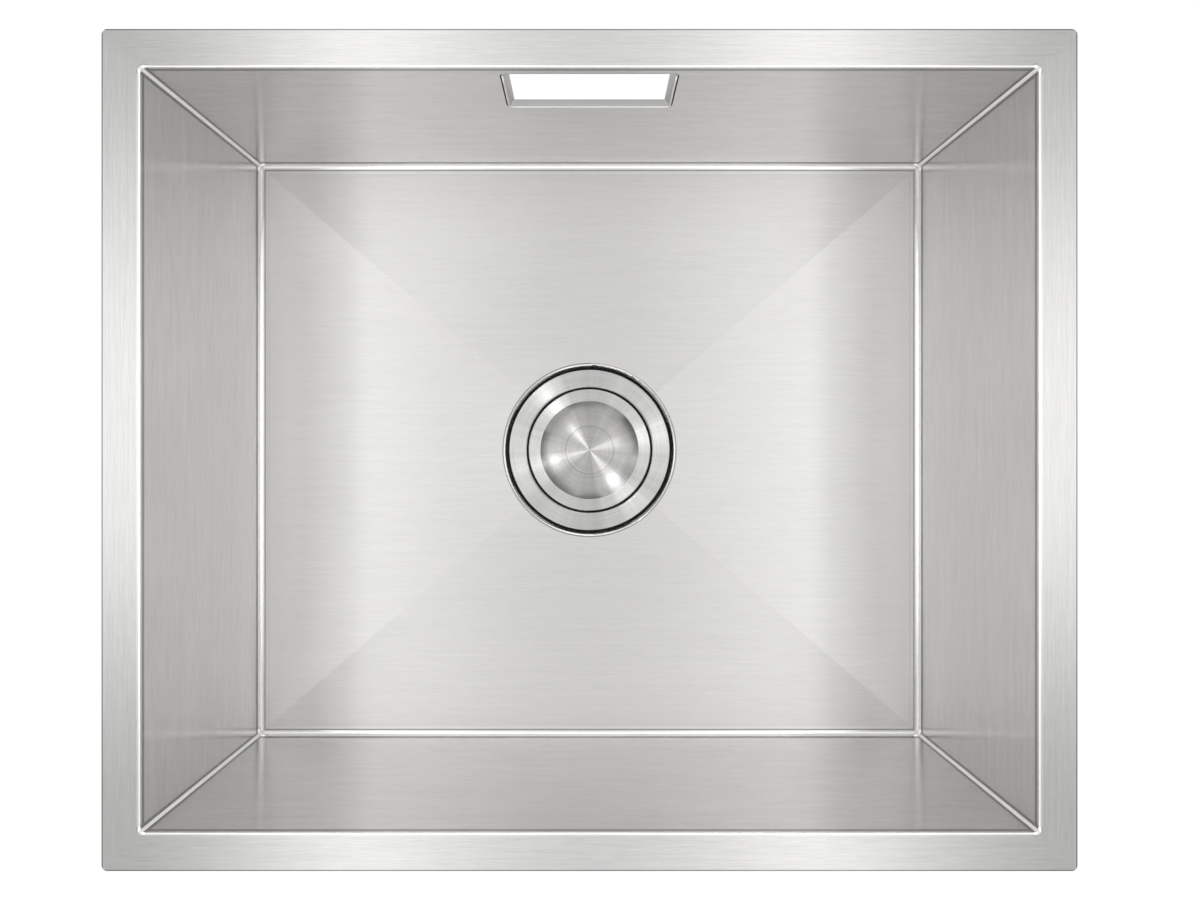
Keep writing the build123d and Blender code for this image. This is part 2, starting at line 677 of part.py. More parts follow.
def body_ribs():
    """Gussets between the waste body's wall and its rim."""
    top = BODY_TOP - BODY_RIM_THICKNESS + OVERRUN
    inner = (BODY_RADIUS + BODY_BORE) / 2
    outline = [
        (inner, top),
        (RIB_END, top),
        (RIB_END, top - OVERRUN),
        (BODY_RADIUS, top - OVERRUN - RIB_HEIGHT),
        (inner, top - OVERRUN - RIB_HEIGHT),
    ]
    rib = extrude(section(outline), amount=RIB_THICKNESS / 2, both=True)
    step = 360 / RIB_COUNT
    return [Rot(Z=(index + 0.5) * step) * rib for index in range(RIB_COUNT)]


def body_spider():
    """Hub on arms inside the waste body, which takes the screw's insert."""
    arm = Box(2 * BODY_RADIUS, ARM_THICKNESS, ARM_HEIGHT)
    arm = Pos(0, 0, HUB_TOP - ARM_DROP - ARM_HEIGHT / 2) * arm
    arms = [Rot(Z=index * 360 / ARM_COUNT) * arm for index in range(ARM_COUNT // 2)]
    hub = post(HUB_RADIUS, HUB_BOTTOM, HUB_TOP)
    for arm in arms:
        hub = hub + arm
    return hub & body_outside()


def waste_body():
    """Moulded body that carries off water from the cup and from the overflow."""
    body = body_outside() + inlet_outside() + body_ribs()
    bore = along_inlet(post(INLET_BORE, 0, INLET_REACH + OVERRUN))
    body = body - body_hollow() - bore
    return body + body_spider() - post(INSERT_RADIUS, HUB_BOTTOM - OVERRUN, HUB_TOP + OVERRUN)


def outlet_tail():
    """Threaded tail welded to the neck by its flange, which takes the trap's nut."""
    first_ridge = OUTLET_BOTTOM + OUTLET_RIDGES * THREAD_PITCH
    return turned(
        [
            (OUTLET_BORE, TAIL_TOP),
            (JOINT_RADIUS, TAIL_TOP),
            (JOINT_RADIUS, TAIL_TOP - JOINT_THICKNESS),
            (OUTLET_ROOT, TAIL_TOP - JOINT_THICKNESS),
            *thread_corners(OUTLET_RADIUS, first_ridge, OUTLET_RIDGES),
            (OUTLET_ROOT, OUTLET_BOTTOM),
            (OUTLET_BORE, OUTLET_BOTTOM),
        ]
    )


def hub_insert():
    """Threaded insert in the hub."""
    return ring(SCREW_RADIUS + SCREW_FIT, INSERT_RADIUS, HUB_BOTTOM, HUB_TOP)


def screw_washer():
    """Washer under the centre screw's head."""
    inner = SCREW_RADIUS + SCREW_FIT
    return ring(inner, WASHER_RADIUS, CUP_FLOOR, CUP_FLOOR + WASHER_THICKNESS)


def centre_screw():
    """Screw that pulls the cup and the waste body together."""
    seat = CUP_FLOOR + WASHER_THICKNESS
    top = seat + SCREW_HEAD_HEIGHT
    screw = turned(
        [
            (0, HUB_BOTTOM - SCREW_TIP),
            (SCREW_RADIUS, HUB_BOTTOM - SCREW_TIP),
            (SCREW_RADIUS, seat),
            (SCREW_HEAD_RADIUS, seat),
            (SCREW_HEAD_RADIUS, top, SCREW_HEAD_EDGE),
            (0, top),
        ]
    )
    slot = Box(3 * SCREW_HEAD_RADIUS, SCREW_SLOT_WIDTH, 2 * SCREW_SLOT_DEPTH)
    return screw - Pos(0, 0, top) * slot


def inlet_cap():
    """Cap nut that closes the overflow inlet."""
    bore = INLET_RADIUS + CAP_FIT
    outer = bore + CAP_WALL
    end = INLET_REACH + BLANK_THICKNESS + CAP_WALL
    cap = turned(
        [
            (bore, end - CAP_LENGTH),
            (outer, end - CAP_LENGTH),
            (outer, end, CAP_EDGE),
            (0, end),
            (0, end - CAP_WALL),
            (bore, end - CAP_WALL),
        ]
    )
    grip = post(CAP_GRIP_RADIUS, end - CAP_LENGTH, end - 2 * CAP_EDGE)
    return along_inlet(cap + [place * grip for place in PolarLocations(outer, CAP_GRIP_COUNT)])


def inlet_blank():
    """Rubber disc that the cap nut presses on the inlet's end."""
    radius = INLET_RADIUS + CAP_FIT - BLANK_EDGE
    return along_inlet(post(radius, INLET_REACH, INLET_REACH + BLANK_THICKNESS))


# ---- Filter basket -----------------------------------------------------------------------


def basket_perforations():
    """Slots in the basket's wall and rings of holes in its floor."""
    slot_middle = BASKET_RIM_TOP - BASKET_SLOT_DROP - BASKET_SLOT_HEIGHT / 2
    reach = BASKET_GAP + BASKET_SHEET
    plane = Plane((BASKET_RADIUS - reach, 0, slot_middle), x_dir=(0, 0, 1), z_dir=(1, 0, 0))
    outline = plane * SlotOverall(BASKET_SLOT_HEIGHT, BASKET_SLOT_WIDTH)
    slot = extrude(outline, amount=2 * reach)
    turn = 360 / BASKET_SLOT_COUNT
    cuts = [Rot(Z=index * turn) * slot for index in range(BASKET_SLOT_COUNT)]
    hole = post(BASKET_HOLE_RADIUS, BASKET_BOTTOM - OVERRUN, BASKET_FLOOR + OVERRUN)
    for index in range(BASKET_HOLE_RINGS):
        radius = BASKET_HOLE_START + index * BASKET_HOLE_SPACING
        count = int(2 * math.pi * radius / BASKET_HOLE_SPACING)
        cuts += [place * hole for place in PolarLocations(radius, count)]
    return cuts


def filter_basket():
    """Perforated basket that hangs by its rim on the cup's step."""
    rim_bottom = BASKET_RIM_TOP - BASKET_SHEET
    outer = BASKET_RADIUS + BASKET_SHEET
    hole = CORE_RADIUS + CORE_THREAD_FIT
    basket = turned(
        [
            (hole, BASKET_FLOOR),
            (BASKET_RADIUS, BASKET_FLOOR, BASKET_FOOT),
            (BASKET_RADIUS, BASKET_RIM_TOP, BASKET_LIP + BASKET_SHEET),
            (BASKET_RIM_RADIUS, BASKET_RIM_TOP),
            (BASKET_RIM_RADIUS, rim_bottom),
            (outer, rim_bottom, BASKET_LIP),
            (outer, BASKET_BOTTOM, BASKET_FOOT + BASKET_SHEET),
            (hole, BASKET_BOTTOM),
        ]
    )
    return basket - basket_perforations()


def basket_seal():
    """Seal between the basket's rim and the cup's step."""
    inner = CUP_RADIUS + STEP_BEND + CUP_SHEET
    outer = BASKET_RIM_RADIUS - BASKET_SEAL_MARGIN
    return ring(inner, outer, STEP_TOP, STEP_TOP + BASKET_SEAL_THICKNESS)


# ---- Press core --------------------------------------------------------------------------


def core_housing():
    """Housing of the press latch, clamped in the basket's floor."""
    inside_top = CORE_TOP - CORE_CAP
    guide = PLUNGER_RADIUS + PLUNGER_FIT
    shoulder_top = BASKET_FLOOR + CORE_SHOULDER_THICKNESS
    return turned(
        [
            (0, CORE_BOTTOM),
            (CORE_RADIUS, CORE_BOTTOM),
            (CORE_RADIUS, BASKET_FLOOR),
            (CORE_SHOULDER_RADIUS, BASKET_FLOOR),
            (CORE_SHOULDER_RADIUS, shoulder_top),
            (CORE_RADIUS, shoulder_top),
            (CORE_RADIUS, CORE_TOP),
            (guide, CORE_TOP),
            (guide, inside_top),
            (CORE_BORE, inside_top),
            (CORE_BORE, CORE_INSIDE_BOTTOM),
            (0, CORE_INSIDE_BOTTOM),
        ]
    )


def core_nut():
    """Hexagonal nut that holds the housing under the basket."""
    corner_radius = CORE_NUT_FLATS / math.sqrt(3)
    nut = extrude(RegularPolygon(corner_radius, 6), amount=CORE_NUT_THICKNESS)
    bottom = BASKET_BOTTOM - CORE_NUT_THICKNESS
    bore = post(CORE_RADIUS + CORE_THREAD_FIT, bottom - OVERRUN, BASKET_BOTTOM + OVERRUN)
    return Pos(0, 0, bottom) * nut - bore


def core_plunger():
    """Plunger that carries the lid, with the collar that the housing stops."""
    tail_bottom = CORE_INSIDE_BOTTOM + PLUNGER_TAIL_GAP
    stud_bore = LID_STUD_RADIUS + SCREW_FIT
    stud_bottom = RETAINER_BOTTOM - LID_STUD_DEPTH
    return turned(
        [
            (0, tail_bottom),
            (PLUNGER_TAIL_RADIUS, tail_bottom),
            (PLUNGER_TAIL_RADIUS, COLLAR_BOTTOM),
            (COLLAR_RADIUS, COLLAR_BOTTOM),
            (COLLAR_RADIUS, COLLAR_TOP),
            (PLUNGER_RADIUS, COLLAR_TOP),
            (PLUNGER_RADIUS, RETAINER_BOTTOM),
            (stud_bore, RETAINER_BOTTOM),
            (stud_bore, stud_bottom),
            (0, stud_bottom),
        ]
    )


def index_rotor():
    """Toothed ring under the collar that latches the plunger down."""
    bore = PLUNGER_TAIL_RADIUS + ROTOR_FIT
    rotor = ring(bore, COLLAR_RADIUS, ROTOR_BOTTOM, COLLAR_BOTTOM)
    width = math.pi * COLLAR_RADIUS / ROTOR_TOOTH_COUNT
    notch = Box(2 * ROTOR_FIT + COLLAR_RADIUS - bore, width, 2 * ROTOR_TOOTH_DEPTH)
    notch = Pos(0, 0, COLLAR_BOTTOM) * notch
    return rotor - [place * notch for place in PolarLocations(COLLAR_RADIUS, ROTOR_TOOTH_COUNT)]


def core_spring():
    """Compression spring in one wire. Each half turn is a half circle that climbs."""
    radius = (CORE_BORE + PLUNGER_TAIL_RADIUS) / 2
    height = CORE_INSIDE_BOTTOM + SPRING_WIRE + SPRING_END_GAP
    last = ROTOR_BOTTOM - SPRING_WIRE - SPRING_END_GAP
    climb = (last - height) / (2 * SPRING_TURNS)
    reach = math.hypot(radius, climb / 2)
    start = Vector(radius, 0, height)
    arcs = []
    for index in range(2 * SPRING_TURNS):
        side = 1 if index % 2 == 0 else -1
        low = (side * radius, 0, height)
        middle = (0, side * reach, height + climb / 2)
        high = (-side * radius, 0, height + climb)
        arcs.append(ThreePointArc(low, middle, high))
        height += climb
    wire_end = Plane(start, x_dir=(1, 0, 0), z_dir=(0, 1, 0)) * Circle(SPRING_WIRE)
    return sweep(wire_end, path=Wire(arcs))


# ---- Lid ---------------------------------------------------------------------------------


def lid_plate():
    """Pressed lid: a flat ring, a shallow dish and a seat for the centre disc."""
    rise = math.tan(math.radians(DISH_SLOPE))
    foot = DISH_RADIUS - DISH_DEPTH / rise
    seat = DISC_RADIUS + DISC_FIT
    under_shift = LID_SHEET * math.tan(math.radians(DISH_SLOPE) / 2)
    skirt_bottom = LID_TOP - LID_SKIRT
    inner_skirt = LID_RADIUS - LID_SHEET
    return turned(
        [
            (0, DISC_BOTTOM),
            (seat, DISC_BOTTOM),
            (seat, DISC_TOP),
            (foot, DISC_TOP, DISH_BEND),
            (DISH_RADIUS, LID_TOP),
            (LID_RADIUS, LID_TOP, LID_EDGE),
            (LID_RADIUS, skirt_bottom),
            (inner_skirt, skirt_bottom),
            (inner_skirt, LID_TOP - LID_SHEET),
            (DISH_RADIUS + under_shift, LID_TOP - LID_SHEET),
            (foot + under_shift, DISC_TOP - LID_SHEET, DISH_BEND + LID_SHEET),
            (seat + LID_SHEET, DISC_TOP - LID_SHEET),
            (seat + LID_SHEET, RETAINER_TOP),
            (0, RETAINER_TOP),
        ]
    )


def lid_disc():
    """Disc in the middle of the lid, where it is pressed."""
    return post(DISC_RADIUS, DISC_BOTTOM, DISC_TOP)


def lid_stud():
    """Threaded stud welded under the lid, screwed into the plunger."""
    return post(LID_STUD_RADIUS, RETAINER_BOTTOM - LID_STUD_DEPTH, RETAINER_TOP)


def seal_retainer():
    """Moulded disc under the lid that holds its seal."""
    flange_top = RETAINER_BOTTOM + RETAINER_FLANGE_THICKNESS
    bore = LID_STUD_RADIUS + SCREW_FIT
    return turned(
        [
            (bore, RETAINER_BOTTOM),
            (RETAINER_RADIUS + RETAINER_FLANGE, RETAINER_BOTTOM),
            (RETAINER_RADIUS + RETAINER_FLANGE, flange_top),
            (RETAINER_RADIUS, flange_top),
            (RETAINER_RADIUS, RETAINER_TOP),
            (bore, RETAINER_TOP),
        ]
    )


def lid_seal():
    """Rubber ring round the retainer, with a lip that closes on the basket's rim."""
    low = RETAINER_BOTTOM + RETAINER_FLANGE_THICKNESS + LID_SEAL_FIT
    inner = RETAINER_RADIUS + LID_SEAL_FIT
    outer = BASKET_RIM_RADIUS - LID_SEAL_THICKNESS
    lip = RETAINER_RADIUS + RETAINER_FLANGE + 2 * LID_SEAL_FIT
    return turned(
        [
            (inner, low),
            (lip, low),
            (outer - LID_SEAL_THICKNESS / 2, LID_SEAL_BOTTOM),
            (outer + LID_SEAL_THICKNESS / 2, LID_SEAL_BOTTOM),
            (outer, low + LID_SEAL_THICKNESS),
            (inner, low + LID_SEAL_THICKNESS),
        ]
    )


# ---- Parts -------------------------------------------------------------------------------

PARTS = {
    "bowl": bowl(),
    "overflow_frame": overflow_frame(),
    "overflow_studs": overflow_studs(),
    "pad_left_wall": side_pad(-1),
    "pad_right_wall": side_pad(1),
    "pad_front_wall": front_pad(),
    "pad_back_wall": back_pad(),
    "pad_left_floor": side_floor_pad(-1),
    "pad_right_floor": side_floor_pad(1),
    "pad_front_floor": end_floor_pad(-1),
    "pad_back_floor": end_floor_pad(1),
    "strainer_cup": strainer_cup(),
    "upper_seal": upper_seal(),
    "lower_seal": lower_seal(),
    "waste_body": waste_body(),
    "outlet_tail": outlet_tail(),
    "hub_insert": hub_insert(),
    "screw_washer": screw_washer(),
    "centre_screw": centre_screw(),
    "inlet_cap": inlet_cap(),
    "inlet_blank": inlet_blank(),
    "filter_basket": filter_basket(),
    "basket_seal": basket_seal(),
    "core_housing": core_housing(),
    "core_nut": core_nut(),
    "core_spring": core_spring(),
    "core_plunger": core_plunger(),
    "index_rotor": index_rotor(),
    "lid_plate": lid_plate(),
    "lid_disc": lid_disc(),
    "lid_stud": lid_stud(),
    "seal_retainer": seal_retainer(),
    "lid_seal": lid_seal(),
}

os.makedirs("parts", exist_ok=True)
for name, shape in PARTS.items():
    export_step(shape, f"parts/{name}.step")
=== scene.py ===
import json
import math

import bmesh
import bpy
from mathutils import Euler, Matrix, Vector


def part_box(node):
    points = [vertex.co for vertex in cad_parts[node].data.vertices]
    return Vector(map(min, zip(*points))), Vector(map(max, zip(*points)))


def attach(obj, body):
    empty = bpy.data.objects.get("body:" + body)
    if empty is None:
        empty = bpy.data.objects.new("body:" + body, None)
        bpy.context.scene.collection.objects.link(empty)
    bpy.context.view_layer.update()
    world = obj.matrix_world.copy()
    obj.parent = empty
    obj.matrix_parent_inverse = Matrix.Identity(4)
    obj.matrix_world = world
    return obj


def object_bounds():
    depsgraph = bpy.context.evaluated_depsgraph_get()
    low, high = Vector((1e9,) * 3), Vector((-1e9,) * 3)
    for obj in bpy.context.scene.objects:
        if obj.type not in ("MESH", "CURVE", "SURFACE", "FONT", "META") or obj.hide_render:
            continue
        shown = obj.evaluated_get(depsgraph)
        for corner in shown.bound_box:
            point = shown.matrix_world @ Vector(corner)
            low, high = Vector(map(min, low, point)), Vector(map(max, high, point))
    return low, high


# Undermount kitchen sink, seen from straight above. All lengths are in metres, in the model's frame:
# the origin is the middle of the bowl's mouth, +Z is up and +Y points to the wall with the overflow.

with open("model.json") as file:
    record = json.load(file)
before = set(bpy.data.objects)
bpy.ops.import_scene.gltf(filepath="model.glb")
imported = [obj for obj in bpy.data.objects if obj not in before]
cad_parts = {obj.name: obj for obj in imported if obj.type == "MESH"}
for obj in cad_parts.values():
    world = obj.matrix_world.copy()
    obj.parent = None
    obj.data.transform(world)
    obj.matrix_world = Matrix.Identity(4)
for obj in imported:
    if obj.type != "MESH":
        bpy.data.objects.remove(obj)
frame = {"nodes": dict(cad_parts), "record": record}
cad_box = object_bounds()
NODES = frame["nodes"]
MM = 0.001

# ---- Sizes of the bowl -------------------------------------------------------------------

BOWL_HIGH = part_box("bowl")[1]
FLANGE_RIM = 20 * MM
BOWL_DEPTH = 200 * MM
HALF_LENGTH = BOWL_HIGH.x - FLANGE_RIM
HALF_WIDTH = BOWL_HIGH.y - FLANGE_RIM
SIDE_LEAN = math.radians(1)
FLOOR_HALF_LENGTH = HALF_LENGTH - BOWL_DEPTH * math.tan(SIDE_LEAN)
FLOOR_BEND = 4 * MM
FLOOR_LEVEL = -BOWL_DEPTH
HALF_DEPTH = -BOWL_DEPTH / 2

# ---- Finish of the bowl's sheet ----------------------------------------------------------

SHEET_COLOUR = (0.797, 0.791, 0.779)
SHEET_ROUGHNESS = 0.24
HIGHEST_TONE = 1.24  # keeps the sheet's colour below full white
STRETCH = 0.95  # how much wider the gloss is across the grooves than along them
STREAK_LENGTH = 14 * MM
STREAK_WIDTH = 0.45 * MM
WALL_STREAKS = 3.5  # how much wider the streaks are up the walls than on level panels
OUTSIDE_STREAKS = 2.0  # and up the outside of the walls
FLANGE_CONTRAST = 0.4  # of the streaks' lightness on each panel
WALL_CONTRAST = 0.4
FLOOR_CONTRAST = 0.25
OUTSIDE_CONTRAST = 0.25
GROOVE_DEPTH = 0.004 * MM
SHEET_WIPING = (60 * MM, 0.03)  # size of the wiped patches, and how much their roughness differs
CORNER_BLEND = 24 * MM  # how far streaks of both directions mingle at the flange's corners
OUTSIDE_TONE = 0.66  # the outside of the bowl is left duller than the inside
OUTSIDE_ROUGHNESS = 0.34

STEEP = 0.02  # squared level share of the normal, from which a place counts as part of a wall
OUTWARD = 2 * MM  # how far a normal carries from the middle before a place counts as outside
DOWNWARD = -0.05  # and the upward share of the normal below which it does
MASK_GAIN = 4.0  # brings the product of two equal squared shares to 1
LEAST_SLOPE = 0.0001  # keeps a division by the squared level share safe on level faces
FLOOR_SLACK = 4 * MM  # how far above its edge a place still counts as floor
FLOOR_ROUGHNESS = 0.31
DULL_STRIP_ROUGHNESS = 0.38  # of a duller strip some way from the left and right walls
DULL_STRIP = (32 * MM, 68 * MM)  # nearest and farthest distance of that strip from the wall
DULL_STRIP_BLEND = 12 * MM
PAINTED_FLOOR_END_LIGHT = 1.15  # painted light: the floor is made lighter in the strip beside the left and right walls
FLOOR_END = (15 * MM, 50 * MM)  # full up to the first distance from the wall, gone at the second
PAINTED_SIDE_FACET_TONE = 1.075  # painted light: lightness of the floor's left and right facets, standing in for the way they catch the light
PAINTED_END_FACET_TONE = 0.992  # and of its front and back ones, painted the same way
FACET_CREASE = (0.002, 0.006)  # difference of slopes over which one facet gives way to the next
PAINTED_END_WALL_SHADE = 0.15  # painted light and shade: how much lighter the front and back walls get from mouth to floor
PAINTED_SIDE_WALL_SHADE = -0.09  # and the left and right ones, painted darker towards the floor

PAINTED_BEND_HIGHLIGHT = 1.24  # painted highlight: lightness of the bends and upright corners against the sheet
BEND_ROUGHNESS = 0.2
BEND_EDGE = (0.1, 0.5)  # how far round a bend its smoother strip, with the painted highlight, begins and is full
CORNER_ROUGHNESS = 0.85
CORNER_EDGE = (0.45, 0.7)  # the same round an upright corner
PAINTED_DARK_LINE = 0.5  # painted shade: lightness of the dark lines beside the folds
WELD_SHADE = (3.0 * MM, 3.6 * MM)  # painted shade up to the first distance from an upright corner, gone at the second
UNDER_MOUTH = (-5.6 * MM, -2.6 * MM)  # heights of the painted dark line under the mouth
OVER_FLOOR = (FLOOR_LEVEL + 3.4 * MM, FLOOR_LEVEL + 8 * MM)  # and of the one over the floor
WALL_LINE_BLEND = 0.3 * MM
FLOOR_LINE = (FLOOR_BEND - 0.5 * MM, FLOOR_BEND + 0.4 * MM)  # painted dark line round the floor, from its outline
RECESS_LINE = (60.4 * MM, 61.3 * MM)  # radii of the painted dark line round the drain's recess
LINE_BLEND = 0.1 * MM
PAINTED_SECOND_HIGHLIGHT = 1.14  # painted highlight: lightness of the second line, inside the floor's bend
SECOND_STRIP = (FLOOR_BEND + 0.6 * MM, FLOOR_BEND + 2.4 * MM)
SECOND_BLEND = 0.15 * MM
RIM_WIDTH = 0.6 * MM  # painted shade: dark outline on the cut edge round the flange
PAINTED_RIM_SHADE = 0.35

# ---- Finish of the drain's turned faces --------------------------------------------------

TURNED_COLOUR = (0.59, 0.585, 0.576)
TURNED_ROUGHNESS = 0.26
TURNED_CONTRAST = 0.46
TURNED_WIPING = (25 * MM, 0.03)
RING_DEPTH = 0.003 * MM
RING_WIDTH = 0.45 * MM
RING_LENGTH = 30 * MM
UNROLL_RADIUS = 40 * MM  # radius at which the rings' streaks have their real length
PAINTED_RAY_CONTRAST = 0.5  # painted reflection: how strongly light and dark rays are painted round the drain on the turned faces
RAY_SCALE = 5.0
DISH_RADIUS = 34.6 * MM
PAINTED_DISH_SHADE = 0.8  # painted shade: lightness of the lid's dish against its level rings
PAINTED_DISH_RIM_SHADE = 0.32  # and the darkest painted shade on the dish's edge against the dish
DISH_RIM_REACH = 7 * MM  # how far in from the dish's edge it darkens
DISH_RIM_END = 2 * MM  # and how far out
DISH_SLOPE = (0.8, 0.992)  # steepest and flattest upward share of the normal that darkens
DISH_SLOPE_BLEND = 0.004
LOBE_SIZE = 18 * MM  # size of the patches that break up the painted shade on the dish's edge
LOBE_EDGE = (0.3, 0.55)  # noise values from which they begin and are full
DISC_RADIUS = 17 * MM
EDGE_LINE = (-0.3 * MM, 0.1 * MM)  # a turned edge's width, from its radius
PAINTED_DISC_LINE = 0.5  # painted shade: depth of the dark line round the disc, against the dish's edge

# ---- Finish of the moulded pieces and the damping pads -----------------------------------

MOULDED_WIPING = (18 * MM, 0.12)
PAD_COLOUR = (0.06, 0.06, 0.064)
PAD_ROUGHNESS = 0.7
PAD_GRAIN = 0.9 * MM
PAD_CONTRAST = 0.3
PAD_SHINE = 0.3
WAFFLE = 12 * MM  # spacing of the ribs on the pads
RIB_EDGE = (0.9, 0.98)
RIB_HEIGHT = 0.25 * MM
RIB_TONE = 1.2
RIB_SHARE = 0.7  # of the height, and the rest is the rubber's grain

# ---- Thin pieces beside the carried-over nodes -------------------------------------------

TURNED_STEPS = 128
# Outlines in millimetres: out from the lid's or the cup's edge, and up from the lid's top or the seal's foot
LID_TRIM = ((0.03, -3.0), (0.48, -3.0), (0.88, -1.0), (0.73, -0.5), (0.03, -0.5))
SEAL_LIP = ((0.05, 0.03), (0.8, 0.03), (1.5, 1.13), (1.5, 1.83), (0.9, 2.23), (0.05, 2.33))
# Outlines in millimetres: in from the slot's edge, and in from the wall
SLOT_LIP = ((0.15, 0.02), (0.15, 0.5), (0.45, 1.0), (0.8, 1.0), (1.0, 0.5), (1.0, 0.02))
# a thin black sheet that stands for the shade of the seam outside the slot
SLOT_SHADE_STRIP = ((-0.7, 0.02), (-0.7, 0.12), (0.08, 0.12), (0.08, 0.02))
SHADE_STRIP_DOWN = 2.4  # how much wider the painted shade strip is under the slot than beside it
SLOT_SIZE = (94.5 * MM, 56.4 * MM)
SLOT_CORNER = 3 * MM
SLOT_MIDDLE = -37.8 * MM
SLOT_STEPS = 6

WALL_CORNER = 2.5 * MM  # radius inside the upright corners
OUTER_CORNER = 3.7 * MM  # and outside them
BEAD_TOP = -8 * MM
BEAD_BOTTOM = -190 * MM
BEAD_STEP = 0.4 * MM
BEAD_RIPPLE = 5  # steps from one ripple to the next
BEAD_HEIGHT = 0.45 * MM
BEAD_SWELL = 0.25  # share of the height that comes and goes
BEAD_SPREAD = math.radians(26)  # half the angle that a bead covers round its corner
BEAD_GAP = 0.05 * MM  # clear of the wall, and the bead's least thickness
BEAD_SHARES = (-1, -0.5, 0, 0.5, 1)

FRAME_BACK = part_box("overflow_frame")[1].y
SPOT_SIDE = 54.25
SPOTS = [(side * SPOT_SIDE, height) for side in (-1, 1) for height in (-12, -24, -52, -64)]
SPOTS += [(along, -72) for along in (-39, -13, 13, 39)]  # millimetres from the origin, along X and Z
SPOT_PROFILE = ((2.2, 0.02), (2.1, 0.2), (1.6, 0.25), (1.3, 0.1))  # millimetres, radius and height
SPOT_STEPS = 20

# ---- Camera, as the photograph was taken -------------------------------------------------

PHOTO_WIDTH = 1200
PHOTO_FOCUS = 1118.8  # focal length, in the photograph's pixels
PHOTO_SINK_X = 589.5  # the sink's middle in the photograph, in pixels
SENSOR_WIDTH = 36.0  # millimetres
EYE_HEIGHT = 0.5846
CLIP_START, CLIP_END = 0.01, 50.0

# ---- Studio ------------------------------------------------------------------------------

FLOOR_SIZE = 14.0
STUDIO_WHITE = (0.9, 0.9, 0.9, 1.0)
STUDIO_ROUGHNESS = 0.9
FLOOR_SHARE = 0.8  # share of plain glow that eye and metal see in the floor
FLOOR_GLOW = 1.09
# Sky and banks of light, by the shares of a direction along X, Y and Z
LOW_SKY = 1.08  # brightness of the sky near the horizon, nearly gone at the zenith
SKY_RISE = (0.45, 1.05)  # share along Z between which it goes
SIDE_BANKS = 0.71  # a bank of light overhead that runs along Y, dimmer in its middle
BANK_REACH = 0.29  # farthest share along X that it lights
BANK_SOFT = 0.11
BANK_MIDDLE = 0.19  # share along X that the dimmer middle reaches
BANK_GAP = 0.3  # how much dimmer the very middle is
BANK_CORE = 0.14  # added brightness to the left and right of the middle
CORE_LOW, CORE_HIGH, CORE_SOFT = 0.15, 0.21, 0.04
END_BANK = 0.66  # a bank of light overhead that runs along X
END_LOW, END_HIGH, END_SOFT = -0.16, 0.22, 0.15
DRAIN_LAMP_DISTANCE = 900 * MM
DRAIN_LAMP_SIZE = 80 * MM
DRAIN_LAMP_SPREAD = 8.0  # degrees
DRAIN_LAMPS = {  # azimuth and elevation in degrees, and power in watts
    "back_left_lamp": (128, 71, 0.0017),
    "right_lamp": (17, 75, 0.0008),
}


# ---- Building shader nodes ---------------------------------------------------------------


def feed(tree, socket, source):
    """Link a source to a socket, or set a plain value on it."""
    if isinstance(source, bpy.types.NodeSocket):
        tree.links.new(source, socket)
    else:
        socket.default_value = source


def add_node(tree, kind, settings=None, **sources):
    """Add a shader node. Settings are its options, and sources feed its inputs by name."""
    made = tree.nodes.new("ShaderNode" + kind)
    for name, value in (settings or {}).items():
        setattr(made, name, value)
    for name, source in sources.items():
        feed(tree, made.inputs[name.replace("_", " ")], source)
    return made


def feed_all(tree, sockets, sources):
    """Feed a row of sockets from a row of sources."""
    for socket, source in zip(sockets, sources):
        feed(tree, socket, source)


def maths(tree, operation, *terms):
    """One Math node on up to three values."""
    made = add_node(tree, "Math", {"operation": operation})
    feed_all(tree, made.inputs, terms)
    return made.outputs[0]


def vector_maths(tree, operation, *terms):
    """One Vector Math node on up to two vectors."""
    made = add_node(tree, "VectorMath", {"operation": operation})
    feed_all(tree, made.inputs, terms)
    return made.outputs[0]


def vector_length(tree, vector):
    """The length of a vector."""
    return add_node(tree, "VectorMath", {"operation": "LENGTH"}, Vector=vector).outputs["Value"]


def combine(tree, x, y, z):
    """A vector from three values."""
    return add_node(tree, "CombineXYZ", X=x, Y=y, Z=z).outputs[0]


def separate(tree, vector):
    """The three values of a vector."""
    return add_node(tree, "SeparateXYZ", Vector=vector).outputs[:3]


def facing(tree):
    """The normal of each place on the surface."""
    return add_node(tree, "NewGeometry").outputs["Normal"]


def smooth_step(tree, value, low, high):
    """0 at low, 1 at high, and a soft change between them."""
    made = add_node(tree, "MapRange", {"interpolation_type": "SMOOTHSTEP"}, Value=value)
    made.inputs["From Min"].default_value = low
    made.inputs["From Max"].default_value = high
    return made.outputs[0]


def between(tree, value, low, high, soft):
    """1 between two values, falling softly to 0 outside them."""
    rise = smooth_step(tree, value, low - soft, low + soft)
    fall = smooth_step(tree, value, high - soft, high + soft)
    return maths(tree, "SUBTRACT", rise, fall)


def noise(tree, vector, scale, detail, roughness=0.5):
    """A noise value about 0.5."""
    made = add_node(tree, "TexNoise", Vector=vector, Scale=scale, Detail=detail, Roughness=roughness)
    return made.outputs[0]


def scaled_down(tree, vector, size):
    """A vector divided by one size."""
    return vector_maths(tree, "DIVIDE", vector, combine(tree, size, size, size))


def mix_values(tree, share, low, high):
    """Between two values."""
    made = add_node(tree, "Mix", {"data_type": "FLOAT"})
    feed_all(tree, (made.inputs[0], made.inputs[2], made.inputs[3]), (share, low, high))
    return made.outputs[0]


def mix_vectors(tree, share, low, high):
    """Between two vectors."""
    made = add_node(tree, "Mix", {"data_type": "VECTOR"})
    feed_all(tree, (made.inputs[0], made.inputs[4], made.inputs[5]), (share, low, high))
    return made.outputs[1]


def mix_shaders(tree, share, low, high):
    """Between two shaders."""
    made = add_node(tree, "MixShader")
    feed_all(tree, made.inputs, (share, low.outputs[0], high.outputs[0]))
    return made


